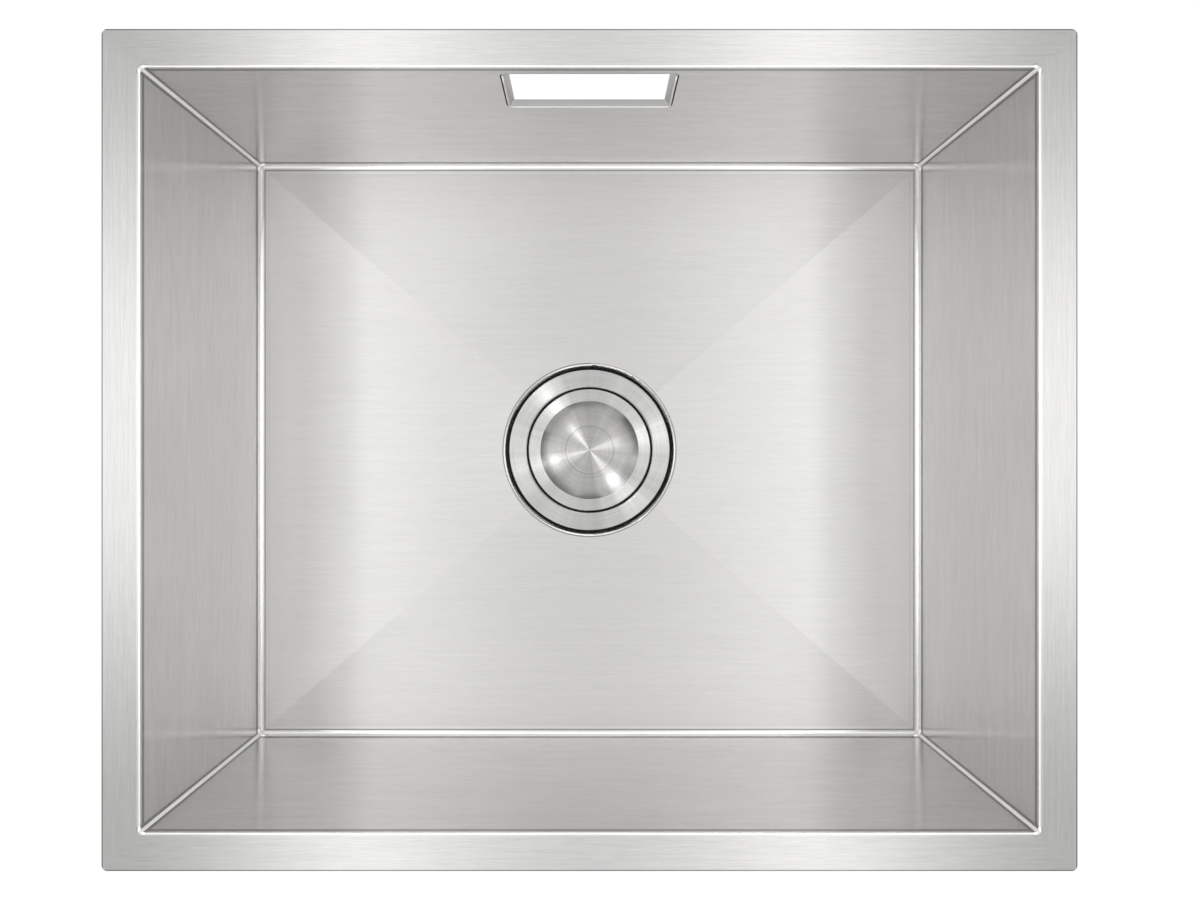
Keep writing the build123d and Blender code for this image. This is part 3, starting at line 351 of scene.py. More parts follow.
def new_group(name, inputs, outputs):
    """An empty node group with named sockets, and its inner ends."""
    group = bpy.data.node_groups.new(name, "ShaderNodeTree")
    for direction, sockets in (("INPUT", inputs), ("OUTPUT", outputs)):
        for socket in sockets:
            kind = "NodeSocketVector" if socket == "Place" else "NodeSocketFloat"
            group.interface.new_socket(name=socket, in_out=direction, socket_type=kind)
    start = group.nodes.new("NodeGroupInput")
    end = group.nodes.new("NodeGroupOutput")
    return group, start.outputs, end.inputs


def place_group(tree, group, **sources):
    """Put a group in a material, and return its outputs."""
    made = tree.nodes.new("ShaderNodeGroup")
    made.node_tree = group
    for name, source in sources.items():
        feed(tree, made.inputs[name.replace("_", " ")], source)
    return made.outputs


# ---- Shared effects ----------------------------------------------------------------------

CRISP_NOISE = 0.6  # roughness of the noises that need fine detail, and 0.5 elsewhere


def brushed_grain_group():
    """Fine scratches along X: lighter and darker streaks, and the height of the grooves."""
    fine_share = 0.7
    broad_scale = 0.23
    inputs = ("Place", "Streak Length", "Streak Width", "Contrast")
    group, source, result = new_group("brushed grain", inputs, ("Tone", "Height"))
    size = combine(group, source["Streak Length"], source["Streak Width"], source["Streak Width"])
    stretched = vector_maths(group, "DIVIDE", source["Place"], size)
    fine = noise(group, stretched, 1.0, 2.0, CRISP_NOISE)
    broad = noise(group, stretched, broad_scale, 1.0)
    both = mix_values(group, fine_share, broad, fine)
    centred = maths(group, "SUBTRACT", both, 0.5)
    tone = maths(group, "MULTIPLY_ADD", centred, source["Contrast"], 1.0)
    group.links.new(tone, result["Tone"])
    group.links.new(fine, result["Height"])
    return group


def handling_group():
    """Soft cloudy differences in gloss, as wiping and handling leave them."""
    group, source, result = new_group("handling", ("Place", "Patch Size", "Strength"), ("Shift",))
    scaled = scaled_down(group, source["Place"], source["Patch Size"])
    cloud = noise(group, scaled, 1.0, 3.0, CRISP_NOISE)
    shift = maths(group, "MULTIPLY", maths(group, "SUBTRACT", cloud, 0.5), source["Strength"])
    group.links.new(shift, result["Shift"])
    return group


def moulded_grain_group():
    """Fine pebbled skin of a moulded piece."""
    patch_scale = 0.05
    inputs = ("Place", "Grain Size", "Contrast")
    group, source, result = new_group("moulded grain", inputs, ("Tone", "Height"))
    scaled = scaled_down(group, source["Place"], source["Grain Size"])
    pebbles = noise(group, scaled, 1.0, 2.0)
    patches = noise(group, scaled, patch_scale, 2.0)
    centred = maths(group, "SUBTRACT", patches, 0.5)
    group.links.new(maths(group, "MULTIPLY_ADD", centred, source["Contrast"], 1.0), result["Tone"])
    group.links.new(pebbles, result["Height"])
    return group


BRUSHED_GRAIN = brushed_grain_group()
HANDLING = handling_group()
MOULDED_GRAIN = moulded_grain_group()


# ---- Materials ---------------------------------------------------------------------------


def new_material(name):
    """A material with its tree, its main shader and the place of each point on the piece."""
    material = bpy.data.materials.new(name)
    material.use_nodes = True
    tree = material.node_tree
    shader = tree.nodes["Principled BSDF"]
    place = add_node(tree, "TexCoord").outputs["Object"]
    return material, tree, shader, place


def set_colour(tree, shader, colour, tone):
    """Base colour with its lightness changed over the surface by a tone about 1."""
    made = add_node(tree, "VectorMath", {"operation": "SCALE"}, Scale=tone)
    made.inputs[0].default_value = colour
    tree.links.new(made.outputs[0], shader.inputs["Base Color"])


def set_roughness(tree, shader, place, roughness, wiping):
    """Roughness with the cloudy differences that wiping leaves: the size of the patches, and how much."""
    patch_size, strength = wiping
    cloud = place_group(tree, HANDLING, Place=place, Patch_Size=patch_size, Strength=strength)
    feed(tree, shader.inputs["Roughness"], maths(tree, "ADD", cloud["Shift"], roughness))


def set_bump(tree, shader, height, depth):
    """Bump from a height that is 0 to 1 over a real depth."""
    bump = add_node(tree, "Bump", Height=height, Distance=depth, Strength=1.0)
    tree.links.new(bump.outputs[0], shader.inputs["Normal"])


def set_brushing(tree, shader, grooves):
    """Stretch the shader's gloss across the grooves, whose direction varies over the surface."""
    tree.links.new(vector_maths(tree, "CROSS_PRODUCT", grooves, facing(tree)), shader.inputs["Tangent"])
    shader.inputs["Anisotropic"].default_value = STRETCH


def sheet_bends(tree):
    """How the bowl's sheet faces: steep places, bends, upright corners, share along X, and way round."""
    x, y, z = separate(tree, facing(tree))
    x_square, y_square, z_square = (maths(tree, "MULTIPLY", value, value) for value in (x, y, z))
    level = maths(tree, "ADD", x_square, y_square)
    steep = maths(tree, "GREATER_THAN", level, STEEP)
    bend = maths(tree, "MULTIPLY", maths(tree, "MULTIPLY", level, z_square), MASK_GAIN)
    corner = maths(tree, "MULTIPLY", maths(tree, "MULTIPLY", x_square, y_square), MASK_GAIN)
    along_x = maths(tree, "DIVIDE", y_square, maths(tree, "MAXIMUM", level, LEAST_SLOPE))
    round_bowl = combine(tree, maths(tree, "MULTIPLY", y, -1.0), x, 0.0)
    return steep, bend, corner, along_x, round_bowl


def flat_share_along_x(tree, place, x_far, y_far, z):
    """On level faces, 1 where the sheet is brushed along X and 0 where it is brushed along Y."""
    past_side = maths(tree, "SUBTRACT", y_far, HALF_WIDTH)
    past_end = maths(tree, "SUBTRACT", x_far, HALF_LENGTH)
    grain = noise(tree, scaled_down(tree, place, MM), 1.0, 1.0)
    ragged = maths(tree, "MULTIPLY", maths(tree, "SUBTRACT", grain, 0.5), CORNER_BLEND * 2)
    flange = maths(tree, "GREATER_THAN", maths(tree, "SUBTRACT", past_side, past_end), ragged)
    return maths(tree, "MAXIMUM", flange, maths(tree, "LESS_THAN", z, HALF_DEPTH))


def outer_side(tree, x, y):
    """1 on the outside and underside of the bowl."""
    to_x, to_y, to_z = separate(tree, facing(tree))
    outward = maths(tree, "ADD", maths(tree, "MULTIPLY", x, to_x), maths(tree, "MULTIPLY", y, to_y))
    away = maths(tree, "GREATER_THAN", outward, OUTWARD)
    return maths(tree, "MAXIMUM", away, maths(tree, "LESS_THAN", to_z, DOWNWARD))


def painted_facet_tone(tree):
    """Painted light on the floor's facets, lighter or darker by the way they slope."""
    x, y, _ = separate(tree, facing(tree))
    slope = maths(tree, "SUBTRACT", maths(tree, "ABSOLUTE", x), maths(tree, "ABSOLUTE", y))
    return mix_values(tree, smooth_step(tree, slope, *FACET_CREASE), PAINTED_END_FACET_TONE, PAINTED_SIDE_FACET_TONE)


def flange_rim(tree, x_far, y_far):
    """1 on the cut edge all round the flange."""
    over_end = maths(tree, "GREATER_THAN", x_far, BOWL_HIGH.x - RIM_WIDTH)
    over_side = maths(tree, "GREATER_THAN", y_far, BOWL_HIGH.y - RIM_WIDTH)
    return maths(tree, "MAXIMUM", over_end, over_side)


def painted_dark_lines(tree, steep, x, y, z, x_far, y_far):
    """1 on the painted dark lines (painted shade) beside the folds, the welds and the drain's recess."""
    side_wall = maths(tree, "MULTIPLY_ADD", z, math.tan(SIDE_LEAN), HALF_LENGTH)
    from_side = maths(tree, "SUBTRACT", side_wall, x_far)
    from_corner = maths(tree, "MAXIMUM", from_side, maths(tree, "SUBTRACT", HALF_WIDTH, y_far))
    by_weld = maths(tree, "SUBTRACT", 1.0, smooth_step(tree, from_corner, *WELD_SHADE))
    under_mouth = between(tree, z, *UNDER_MOUTH, WALL_LINE_BLEND)
    over_floor = between(tree, z, *OVER_FLOOR, WALL_LINE_BLEND)
    on_walls = maths(tree, "MAXIMUM", by_weld, maths(tree, "ADD", under_mouth, over_floor))
    from_drain = vector_length(tree, combine(tree, x, y, 0.0))
    round_recess = between(tree, from_drain, *RECESS_LINE, LINE_BLEND)
    round_floor = between(tree, inside_floor(tree, x_far, y_far), *FLOOR_LINE, LINE_BLEND)
    on_floor = maths(tree, "ADD", round_floor, round_recess)
    on_walls = maths(tree, "MULTIPLY", steep, on_walls)
    on_floor = maths(tree, "MULTIPLY", maths(tree, "LESS_THAN", z, HALF_DEPTH), on_floor)
    return maths(tree, "MAXIMUM", on_walls, on_floor)


def inside_floor(tree, x_far, y_far):
    """How far a place is inside the floor's outline."""
    from_side = maths(tree, "SUBTRACT", FLOOR_HALF_LENGTH, x_far)
    from_end = maths(tree, "SUBTRACT", HALF_WIDTH, y_far)
    return maths(tree, "MINIMUM", from_side, from_end)


def fold_tone(tree, steep, bright, x, y, z, x_far, y_far):
    """Lightness along the folds: painted highlights on the bends and welds, painted dark lines beside them,
    a painted highlight line inside the floor's bend and painted shade on the flange's cut edge.
    """
    low = maths(tree, "LESS_THAN", z, HALF_DEPTH)
    level = maths(tree, "SUBTRACT", 1.0, steep)
    second = between(tree, inside_floor(tree, x_far, y_far), *SECOND_STRIP, SECOND_BLEND)
    second = maths(tree, "MULTIPLY", maths(tree, "MULTIPLY", low, level), second)
    shade_lines = painted_dark_lines(tree, steep, x, y, z, x_far, y_far)
    tone = mix_values(tree, shade_lines, mix_values(tree, second, 1.0, PAINTED_SECOND_HIGHLIGHT), PAINTED_DARK_LINE)
    tone = mix_values(tree, flange_rim(tree, x_far, y_far), tone, PAINTED_RIM_SHADE)
    return mix_values(tree, bright, tone, PAINTED_BEND_HIGHLIGHT)


def sheet_grain(tree, x, y, z, steep, on_floor, outside, share):
    """Streaks along each panel, and the height of their grooves."""
    panels = mix_values(tree, steep, FLANGE_CONTRAST, WALL_CONTRAST)
    inner = mix_values(tree, on_floor, panels, FLOOR_CONTRAST)
    contrast = mix_values(tree, outside, inner, OUTSIDE_CONTRAST)
    up = maths(tree, "DIVIDE", z, mix_values(tree, outside, WALL_STREAKS, OUTSIDE_STREAKS))
    sizes = {"Streak_Length": STREAK_LENGTH, "Streak_Width": STREAK_WIDTH, "Contrast": contrast}
    along_y, along_x = (
        place_group(tree, BRUSHED_GRAIN, Place=turned, **sizes)
        for turned in (combine(tree, y, x, up), combine(tree, x, y, up))
    )
    return (mix_values(tree, share, along_y[name], along_x[name]) for name in ("Tone", "Height"))


def brushed_sheet():
    """The bowl's sheet: each panel brushed along its length, the bends smoother, with painted light and
    shade on the walls, floor and folds.
    """
    material, tree, shader, place = new_material("brushed_sheet")
    x, y, z = separate(tree, place)
    x_far, y_far = maths(tree, "ABSOLUTE", x), maths(tree, "ABSOLUTE", y)
    steep, bend, corner, steep_share, round_bowl = sheet_bends(tree)
    share = mix_values(tree, steep, flat_share_along_x(tree, place, x_far, y_far, z), steep_share)
    over_floor = maths(tree, "SUBTRACT", z, FLOOR_LEVEL)
    on_floor = maths(tree, "LESS_THAN", maths(tree, "MAXIMUM", steep, over_floor), FLOOR_SLACK)
    outside = outer_side(tree, x, y)
    weld = smooth_step(tree, corner, *CORNER_EDGE)
    bright = maths(tree, "MAXIMUM", smooth_step(tree, bend, *BEND_EDGE), weld)
    from_end = maths(tree, "SUBTRACT", FLOOR_HALF_LENGTH, x_far)

    grain, height = sheet_grain(tree, x, y, z, steep, on_floor, outside, share)
    # painted light: the floor is lighter beside the left and right walls
    past_end = smooth_step(tree, from_end, *FLOOR_END)
    # painted light on the facets, times the painted light beside the walls
    floor_tone = maths(tree, "MULTIPLY", painted_facet_tone(tree), mix_values(tree, past_end, PAINTED_FLOOR_END_LIGHT, 1.0))
    # painted light and shade on the walls, changing from mouth to floor
    depth = maths(tree, "MULTIPLY_ADD", z, -1 / BOWL_DEPTH, -0.5)
    painted_wall_shade = maths(tree, "MULTIPLY", depth, mix_values(tree, steep_share, PAINTED_SIDE_WALL_SHADE, PAINTED_END_WALL_SHADE))
    shaded_wall_tone = maths(tree, "MULTIPLY_ADD", painted_wall_shade, steep, 1.0)
    panel_tone = mix_values(tree, on_floor, shaded_wall_tone, floor_tone)
    inner_tone = maths(tree, "MULTIPLY", fold_tone(tree, steep, bright, x, y, z, x_far, y_far), panel_tone)
    tone = maths(tree, "MULTIPLY", grain, mix_values(tree, outside, inner_tone, OUTSIDE_TONE))
    set_colour(tree, shader, SHEET_COLOUR, maths(tree, "MINIMUM", tone, HIGHEST_TONE))

    dull_strip = between(tree, from_end, *DULL_STRIP, DULL_STRIP_BLEND)
    floor_roughness = mix_values(tree, dull_strip, FLOOR_ROUGHNESS, DULL_STRIP_ROUGHNESS)
    roughness = mix_values(tree, on_floor, SHEET_ROUGHNESS, floor_roughness)
    roughness = mix_values(tree, bright, roughness, mix_values(tree, weld, BEND_ROUGHNESS, CORNER_ROUGHNESS))
    roughness = mix_values(tree, outside, roughness, OUTSIDE_ROUGHNESS)
    set_roughness(tree, shader, place, roughness, SHEET_WIPING)
    set_bump(tree, shader, height, GROOVE_DEPTH)

    side_x = maths(tree, "MULTIPLY", maths(tree, "SIGN", y), share)
    side_y = maths(tree, "MULTIPLY", maths(tree, "SIGN", x), maths(tree, "SUBTRACT", share, 1.0))
    set_brushing(tree, shader, mix_vectors(tree, steep, combine(tree, side_x, side_y, 0.0), round_bowl))
    shader.inputs["Metallic"].default_value = 1.0
    return material


def turned_tone(tree, place, radius):
    """Painted light and shade on the turned faces: the lid's dish darker with a darker edge, a dark line
    round the disc, and painted reflection rays.
    """
    x, y, _ = separate(tree, place)
    upward = separate(tree, facing(tree))[2]
    slope = between(tree, upward, *DISH_SLOPE, DISH_SLOPE_BLEND)
    out = smooth_step(tree, radius, DISH_RADIUS - DISH_RIM_REACH, DISH_RADIUS)
    out = maths(tree, "MULTIPLY", out, maths(tree, "LESS_THAN", radius, DISH_RADIUS + DISH_RIM_END))
    lobes = smooth_step(tree, noise(tree, scaled_down(tree, place, LOBE_SIZE), 1.0, 1.0), *LOBE_EDGE)
    dim = maths(tree, "MULTIPLY", maths(tree, "MULTIPLY", slope, out), lobes)
    inner, outer = EDGE_LINE
    disc_line = between(tree, radius, DISC_RADIUS + inner, DISC_RADIUS + outer, LINE_BLEND)
    dim = maths(tree, "MAXIMUM", dim, maths(tree, "MULTIPLY", disc_line, PAINTED_DISC_LINE))
    past_dish = smooth_step(tree, radius, DISH_RADIUS + inner, DISH_RADIUS + outer)
    # painted shade: the dish darker, its edge and the disc's line darker still
    tone = mix_values(tree, dim, mix_values(tree, past_dish, PAINTED_DISH_SHADE, 1.0), PAINTED_DISH_RIM_SHADE)
    # painted reflection: light and dark rays round the drain
    around = vector_maths(tree, "NORMALIZE", combine(tree, x, y, 0.0))
    rays = maths(tree, "SUBTRACT", noise(tree, around, RAY_SCALE, 3.0, CRISP_NOISE), 0.5)
    return maths(tree, "MULTIPLY", tone, maths(tree, "MULTIPLY_ADD", rays, PAINTED_RAY_CONTRAST, 1.0))


def turned_steel():
    """Steel turned on a lathe: fine rings round the drain's axis."""
    material, tree, shader, place = new_material("turned_steel")
    x, y, z = separate(tree, place)
    radius = vector_length(tree, combine(tree, x, y, 0.0))
    along = maths(tree, "MULTIPLY", maths(tree, "ARCTAN2", y, x), UNROLL_RADIUS)
    grain = place_group(
        tree,
        BRUSHED_GRAIN,
        Place=combine(tree, along, radius, z),
        Streak_Length=RING_LENGTH,
        Streak_Width=RING_WIDTH,
        Contrast=TURNED_CONTRAST,
    )
    tone = maths(tree, "MULTIPLY", grain["Tone"], turned_tone(tree, place, radius))
    set_colour(tree, shader, TURNED_COLOUR, tone)
    set_roughness(tree, shader, place, TURNED_ROUGHNESS, TURNED_WIPING)
    set_bump(tree, shader, grain["Height"], RING_DEPTH)
    set_brushing(tree, shader, combine(tree, maths(tree, "MULTIPLY", y, -1.0), x, 0.0))
    shader.inputs["Metallic"].default_value = 1.0
    return material


def plain_metal(name, colour, roughness, streak, contrast, depth, wiping, turned=False):
    """A metal with a fine grain along X, or round the drain's axis if it was turned."""
    material, tree, shader, place = new_material(name)
    along = place
    if turned:
        x, y, z = separate(tree, place)
        along = combine(tree, maths(tree, "ARCTAN2", y, x), z, z)
    length, width = streak
    grain = place_group(
        tree, BRUSHED_GRAIN, Place=along, Streak_Length=length, Streak_Width=width, Contrast=contrast
    )
    set_colour(tree, shader, colour, grain["Tone"])
    set_roughness(tree, shader, place, roughness, wiping)
    set_bump(tree, shader, grain["Height"], depth)
    shader.inputs["Metallic"].default_value = 1.0
    return material


def moulded(name, colour, roughness, grain_size, depth, contrast, shine):
    """A moulded plastic or rubber with a fine pebbled skin."""
    material, tree, shader, place = new_material(name)
    grain = place_group(tree, MOULDED_GRAIN, Place=place, Grain_Size=grain_size, Contrast=contrast)
    set_colour(tree, shader, colour, grain["Tone"])
    set_roughness(tree, shader, place, roughness, MOULDED_WIPING)
    set_bump(tree, shader, grain["Height"], depth)
    shader.inputs["Specular IOR Level"].default_value = shine
    return material


def embossed_pad():
    """Damping pad: black rubber with a shallow waffle pattern."""
    material, tree, shader, place = new_material("pad_rubber")
    turn = 2 * math.pi / WAFFLE
    waves = [maths(tree, "SINE", maths(tree, "MULTIPLY", value, turn)) for value in separate(tree, place)]
    steepest = maths(tree, "MAXIMUM", maths(tree, "MAXIMUM", waves[0], waves[1]), waves[2])
    rib = smooth_step(tree, steepest, *RIB_EDGE)
    grain = place_group(tree, MOULDED_GRAIN, Place=place, Grain_Size=PAD_GRAIN, Contrast=PAD_CONTRAST)
    set_colour(tree, shader, PAD_COLOUR, mix_values(tree, rib, grain["Tone"], RIB_TONE))
    set_roughness(tree, shader, place, PAD_ROUGHNESS, MOULDED_WIPING)
    set_bump(tree, shader, mix_values(tree, RIB_SHARE, grain["Height"], rib), RIB_HEIGHT)
    shader.inputs["Specular IOR Level"].default_value = PAD_SHINE
    return material


FINISHES = {
    "bowl_steel": brushed_sheet(),
    "turned_steel": turned_steel(),
    "pressed_steel": plain_metal(
        "pressed_steel",
        colour=(0.68, 0.675, 0.67),
        roughness=0.36,
        streak=(3 * MM, 0.3 * MM),
        contrast=0.12,
        depth=0.005 * MM,
        wiping=(20 * MM, 0.08),
    ),
    "bright_steel": plain_metal(
        "bright_steel",
        colour=(0.72, 0.72, 0.725),
        roughness=0.24,
        streak=(1.5 * MM, 0.2 * MM),
        contrast=0.08,
        depth=0.003 * MM,
        wiping=(4 * MM, 0.15),
    ),
    "brass": plain_metal(
        "machined_brass",
        colour=(0.72, 0.53, 0.26),
        roughness=0.3,
        streak=(2.0, 0.2 * MM),  # the first is radians round the axis
        contrast=0.12,
        depth=0.004 * MM,
        wiping=(5 * MM, 0.1),
        turned=True,
    ),
    "pad_rubber": embossed_pad(),
    "seal_rubber": moulded(
        "seal_rubber",
        colour=(0.012, 0.012, 0.013),
        roughness=0.7,
        grain_size=0.4 * MM,
        depth=0.01 * MM,
        contrast=0.2,
        shine=0.12,
    ),
    "waste_plastic": moulded(
        "waste_plastic",
        colour=(0.62, 0.625, 0.62),
        roughness=0.42,
        grain_size=0.5 * MM,
        depth=0.008 * MM,
        contrast=0.08,
        shine=0.5,
    ),
    "core_plastic": moulded(
        "core_plastic",
        colour=(0.1, 0.105, 0.11),
        roughness=0.45,
        grain_size=0.4 * MM,
        depth=0.008 * MM,
        contrast=0.15,
        shine=0.5,
    ),
}


def dress_nodes():
    """Give every carried-over node the finish of its slot."""
    for subpart in frame["record"]["subparts"]:
        node = NODES[subpart["node"]]
        slot_name = subpart["material_slot"]
        node.data.materials.clear()
        node.data.materials.append(FINISHES[slot_name])


# ---- Pieces beside the carried-over nodes ------------------------------------------------


def new_object(name, builder):
    """An object in the scene from a built mesh."""
    mesh = bpy.data.meshes.new(name)
    builder.to_mesh(mesh)
    builder.free()
    made = bpy.data.objects.new(name, mesh)
    bpy.context.scene.collection.objects.link(made)
    return made


def skin(builder, loops, closed):
    """Faces over a row of closed loops of points, which runs back into itself or ends in two caps."""
    rings = [[builder.verts.new(point) for point in loop] for loop in loops]
    pairs = list(zip(rings, rings[1:]))
    if closed:
        pairs.append((rings[-1], rings[0]))
    else:
        builder.faces.new(rings[0])
        builder.faces.new(rings[-1])
    for here, there in pairs:
        for low in range(len(here)):
            high = (low + 1) % len(here)
            builder.faces.new((here[low], there[low], there[high], here[high]))


def add_piece(name, rows, slot_name, body, closed=False):
    """A smooth piece from rows of loops, dressed, and going with its body."""
    builder = bmesh.new()
    for loops in rows:
        skin(builder, loops, closed)
    bmesh.ops.recalc_face_normals(builder, faces=builder.faces)
    piece = new_object(name, builder)
    piece.data.materials.append(FINISHES[slot_name])
    for face in piece.data.polygons:
        face.use_smooth = True
    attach(piece, body)


def turned_loops(outline, radius, height):
    """An outline in millimetres, turned round the drain's axis from a radius and a height."""
    loops = []
    for step in range(TURNED_STEPS):
        angle = 2 * math.pi * step / TURNED_STEPS
        points = [(radius + out * MM, height + up * MM) for out, up in outline]
        loops.append([(r * math.cos(angle), r * math.sin(angle), z) for r, z in points])
    return loops


def seal_lip():
    """The upper seal's edge, squeezed out round the cup's flange into the gap of the recess; its black ring
    there also stands in for the gap's shade.
    """
    loops = turned_loops(SEAL_LIP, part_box("strainer_cup")[1].x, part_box("upper_seal")[0].z)
    add_piece("seal_lip", [loops], "seal_rubber", "sink", closed=True)


def lid_trim():
    """A thin black wiper round the lid's edge, which also fills the gap round the lid with black in place of
    its shade.
    """
    lid_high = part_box("lid_plate")[1]
    loops = turned_loops(LID_TRIM, lid_high.x, lid_high.z)
    add_piece("lid_trim", [loops], "seal_rubber", "lid", closed=True)


def slot_loops(outline, down_share):
    """An outline in millimetres, carried down, along and up the slot's sides and bottom."""
    path = [(-1, 1, -1.0, 0.0)]
    for quarter, side in ((2, -1), (3, 1)):
        for step in range(SLOT_STEPS + 1):
            angle = math.pi / 2 * (quarter + step / SLOT_STEPS)
            path.append((side, -1, math.cos(angle), math.sin(angle)))
    path.append((1, 1, 1.0, 0.0))
    loops = []
    for side, upward, across, up in path:
        middle_x = side * (SLOT_SIZE[0] / 2 - SLOT_CORNER)
        middle_z = SLOT_MIDDLE + upward * (SLOT_SIZE[1] / 2 - SLOT_CORNER)
        loop = []
        for inward, off_wall in outline:
            x = middle_x + across * (SLOT_CORNER - inward * MM)
            z = middle_z + up * (SLOT_CORNER - inward * MM * down_share)
            loop.append((x, HALF_WIDTH - off_wall * MM, z))
        loops.append(loop)
    return loops


def slot_trim():
    """A bright lip along the overflow's slot, and a thin black strip outside it that paints the seam's
    shade.
    """
    add_piece("slot_lip", [slot_loops(SLOT_LIP, 1.0)], "bowl_steel", "sink")
    add_piece("slot_shade_strip", [slot_loops(SLOT_SHADE_STRIP, SHADE_STRIP_DOWN)], "seal_rubber", "sink")


def bead_loops(side_x, side_y):
    """The sections of one weld, down an upright corner."""
    bend_x, bend_y = HALF_LENGTH - WALL_CORNER, HALF_WIDTH - WALL_CORNER
    loops = []
    for step in range(int((BEAD_TOP - BEAD_BOTTOM) / BEAD_STEP) + 1):
        z = BEAD_TOP - step * BEAD_STEP
        lean = z * math.tan(SIDE_LEAN)
        ripple = 1 - BEAD_SWELL + BEAD_SWELL * math.sin(2 * math.pi * step / BEAD_RIPPLE)
        outer = [(share, BEAD_GAP * 2 + BEAD_HEIGHT * ripple * (1 - share * share)) for share in BEAD_SHARES]
        inner = [(share, BEAD_GAP) for share in reversed(BEAD_SHARES)]
        loop = []
        for share, over in outer + inner:
            reach = OUTER_CORNER + over
            angle = math.pi / 4 + share * BEAD_SPREAD
            x = side_x * (bend_x + lean + reach * math.cos(angle))
            loop.append((x, side_y * (bend_y + reach * math.sin(angle)), z))
        loops.append(loop)
    return loops


def corner_beads():
    """The ripples of the weld, outside along the bowl's four upright corners."""
    rows = [bead_loops(side_x, side_y) for side_x, side_y in ((1, 1), (-1, 1), (-1, -1), (1, -1))]
    add_piece("corner_beads", rows, "pressed_steel", "sink")


def spot_loops(x, z):
    """The rings of one spot weld, about its place on the overflow's frame in millimetres."""
    loops = []
    for radius, height in SPOT_PROFILE:
        angles = [2 * math.pi * step / SPOT_STEPS for step in range(SPOT_STEPS)]
        y = FRAME_BACK + height * MM
        loops.append([((x + radius * math.cos(a)) * MM, y, (z + radius * math.sin(a)) * MM) for a in angles])
    return loops


def spot_welds():
    """Small round weld marks that hold the overflow's frame to the back wall."""
    add_piece("spot_welds", [spot_loops(x, z) for x, z in SPOTS], "pressed_steel", "sink")


# ---- Studio ------------------------------------------------------------------------------


def seen_directly(tree):
    """1 on rays from the eye, from metal and through glass, and 0 on the rest."""
    rays = add_node(tree, "LightPath").outputs
    first = maths(tree, "MAXIMUM", rays["Is Camera Ray"], rays["Is Glossy Ray"])
    return maths(tree, "MAXIMUM", first, rays["Is Transmission Ray"])


def studio_floor():
    """A wide pale floor under the sink, clear from below."""
    builder = bmesh.new()
    half, ground = FLOOR_SIZE / 2, cad_box[0].z
    corners = ((-half, -half), (half, -half), (half, half), (-half, half))
    builder.faces.new([builder.verts.new((x, y, ground)) for x, y in corners])
    floor = new_object("studio_floor", builder)
    material, tree, shader, _ = new_material("studio_white")
    shader.inputs["Base Color"].default_value = STUDIO_WHITE
    shader.inputs["Roughness"].default_value = STUDIO_ROUGHNESS
    shader.inputs["Specular IOR Level"].default_value = 0.0
    glow = add_node(tree, "Emission", Color=(1.0, 1.0, 1.0, 1.0), Strength=FLOOR_GLOW)
    upper = mix_shaders(tree, maths(tree, "MULTIPLY", seen_directly(tree), FLOOR_SHARE), shader, glow)
    below = add_node(tree, "NewGeometry").outputs["Backfacing"]
    both = mix_shaders(tree, below, upper, add_node(tree, "BsdfTransparent"))
    tree.links.new(both.outputs[0], tree.nodes["Material Output"].inputs["Surface"])
    floor.data.materials.append(material)


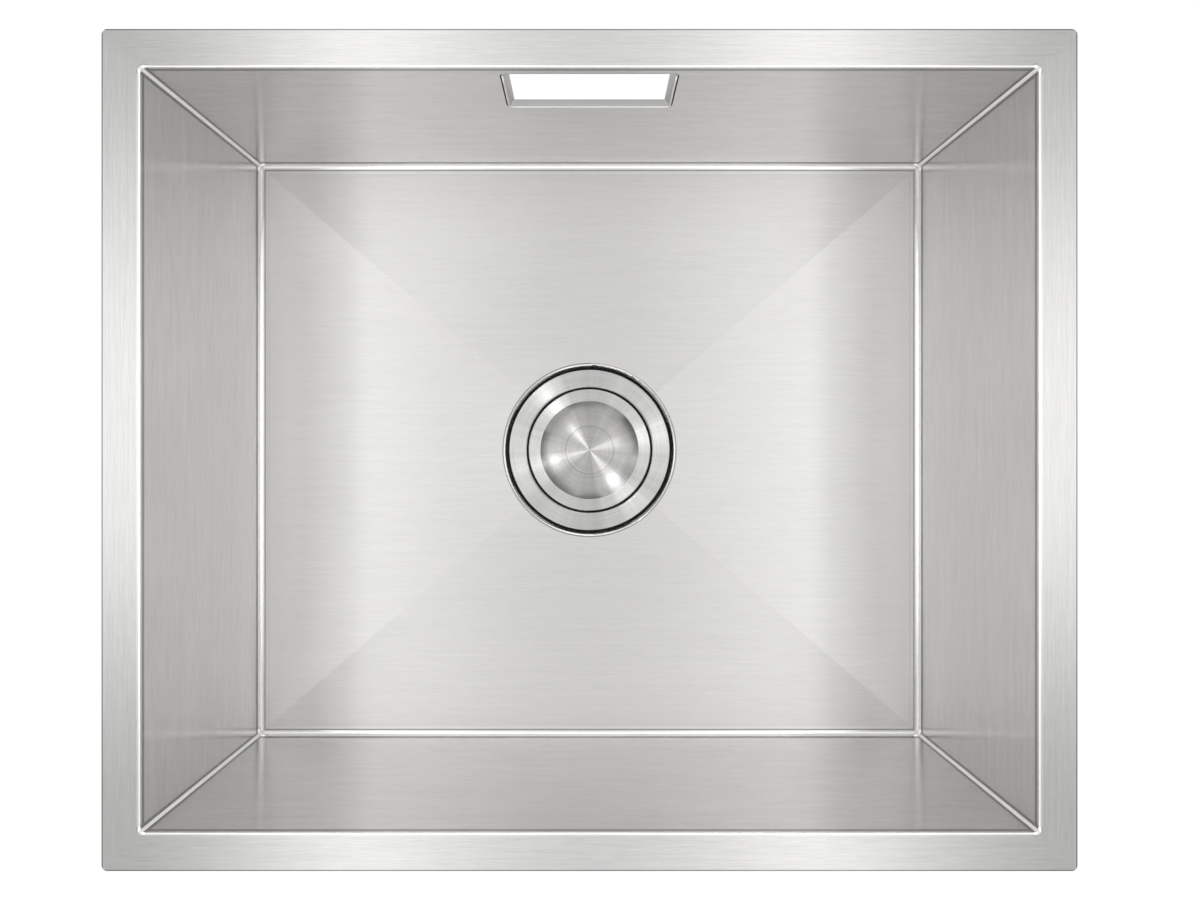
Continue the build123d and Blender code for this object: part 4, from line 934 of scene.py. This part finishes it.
def studio_world():
    """White backdrop for the eye, and for everything else a soft sky with two banks of light overhead."""
    world = bpy.data.worlds.new("studio")
    world.use_nodes = True
    bpy.context.scene.world = world
    tree = world.node_tree
    x, y, z = separate(tree, add_node(tree, "TexCoord").outputs["Generated"])
    x_far = maths(tree, "ABSOLUTE", x)
    overhead = smooth_step(tree, z, *SKY_RISE)
    low = maths(tree, "MULTIPLY", maths(tree, "SUBTRACT", 1.0, overhead), LOW_SKY)
    banks = maths(tree, "MULTIPLY", between(tree, x, -BANK_REACH, BANK_REACH, BANK_SOFT), SIDE_BANKS)
    core = between(tree, x_far, CORE_LOW, CORE_HIGH, CORE_SOFT)
    banks = maths(tree, "MULTIPLY_ADD", core, BANK_CORE, banks)
    off_middle = smooth_step(tree, x_far, 0.0, BANK_MIDDLE)
    gap = maths(tree, "MULTIPLY", maths(tree, "SUBTRACT", 1.0, off_middle), BANK_GAP)
    across = maths(tree, "MULTIPLY", between(tree, y, END_LOW, END_HIGH, END_SOFT), END_BANK)
    sky = maths(tree, "ADD", maths(tree, "ADD", low, across), maths(tree, "SUBTRACT", banks, gap))
    eye = add_node(tree, "LightPath").outputs["Is Camera Ray"]
    backdrop = tree.nodes["Background"].inputs
    feed(tree, backdrop["Color"], (1.0, 1.0, 1.0, 1.0))
    feed(tree, backdrop["Strength"], mix_values(tree, eye, sky, 1.0))


def drain_lamps():
    """Small far lamps aimed at the drain, whose turned rings spread them into rays."""
    drain = Vector((0.0, 0.0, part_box("strainer_cup")[1].z))
    for name, (azimuth, elevation, power) in DRAIN_LAMPS.items():
        lamp = bpy.data.lights.new(name, "AREA")
        lamp.shape = "DISK"
        lamp.size = DRAIN_LAMP_SIZE
        lamp.spread = math.radians(DRAIN_LAMP_SPREAD)
        lamp.energy = power
        holder = bpy.data.objects.new(name, lamp)
        turn = (0.0, math.radians(90 - elevation), math.radians(azimuth))
        holder.rotation_euler = turn
        away = Vector((0.0, 0.0, DRAIN_LAMP_DISTANCE))
        away.rotate(Euler(turn))
        holder.location = drain + away
        holder.visible_camera = False
        bpy.context.scene.collection.objects.link(holder)


def photograph_camera():
    """The camera, looking straight down on the sink."""
    lens = bpy.data.cameras.new("camera")
    lens.sensor_width = SENSOR_WIDTH
    lens.lens = SENSOR_WIDTH * PHOTO_FOCUS / PHOTO_WIDTH
    lens.shift_x = (PHOTO_WIDTH / 2 - PHOTO_SINK_X) / PHOTO_WIDTH
    lens.clip_start = CLIP_START
    lens.clip_end = CLIP_END
    camera = bpy.data.objects.new("camera", lens)
    camera.location = (0.0, 0.0, EYE_HEIGHT)
    bpy.context.scene.collection.objects.link(camera)
    bpy.context.scene.camera = camera


dress_nodes()
seal_lip()
lid_trim()
slot_trim()
corner_beads()
spot_welds()
studio_floor()
studio_world()
drain_lamps()
photograph_camera()
bpy.context.scene.view_settings.view_transform = "Standard"
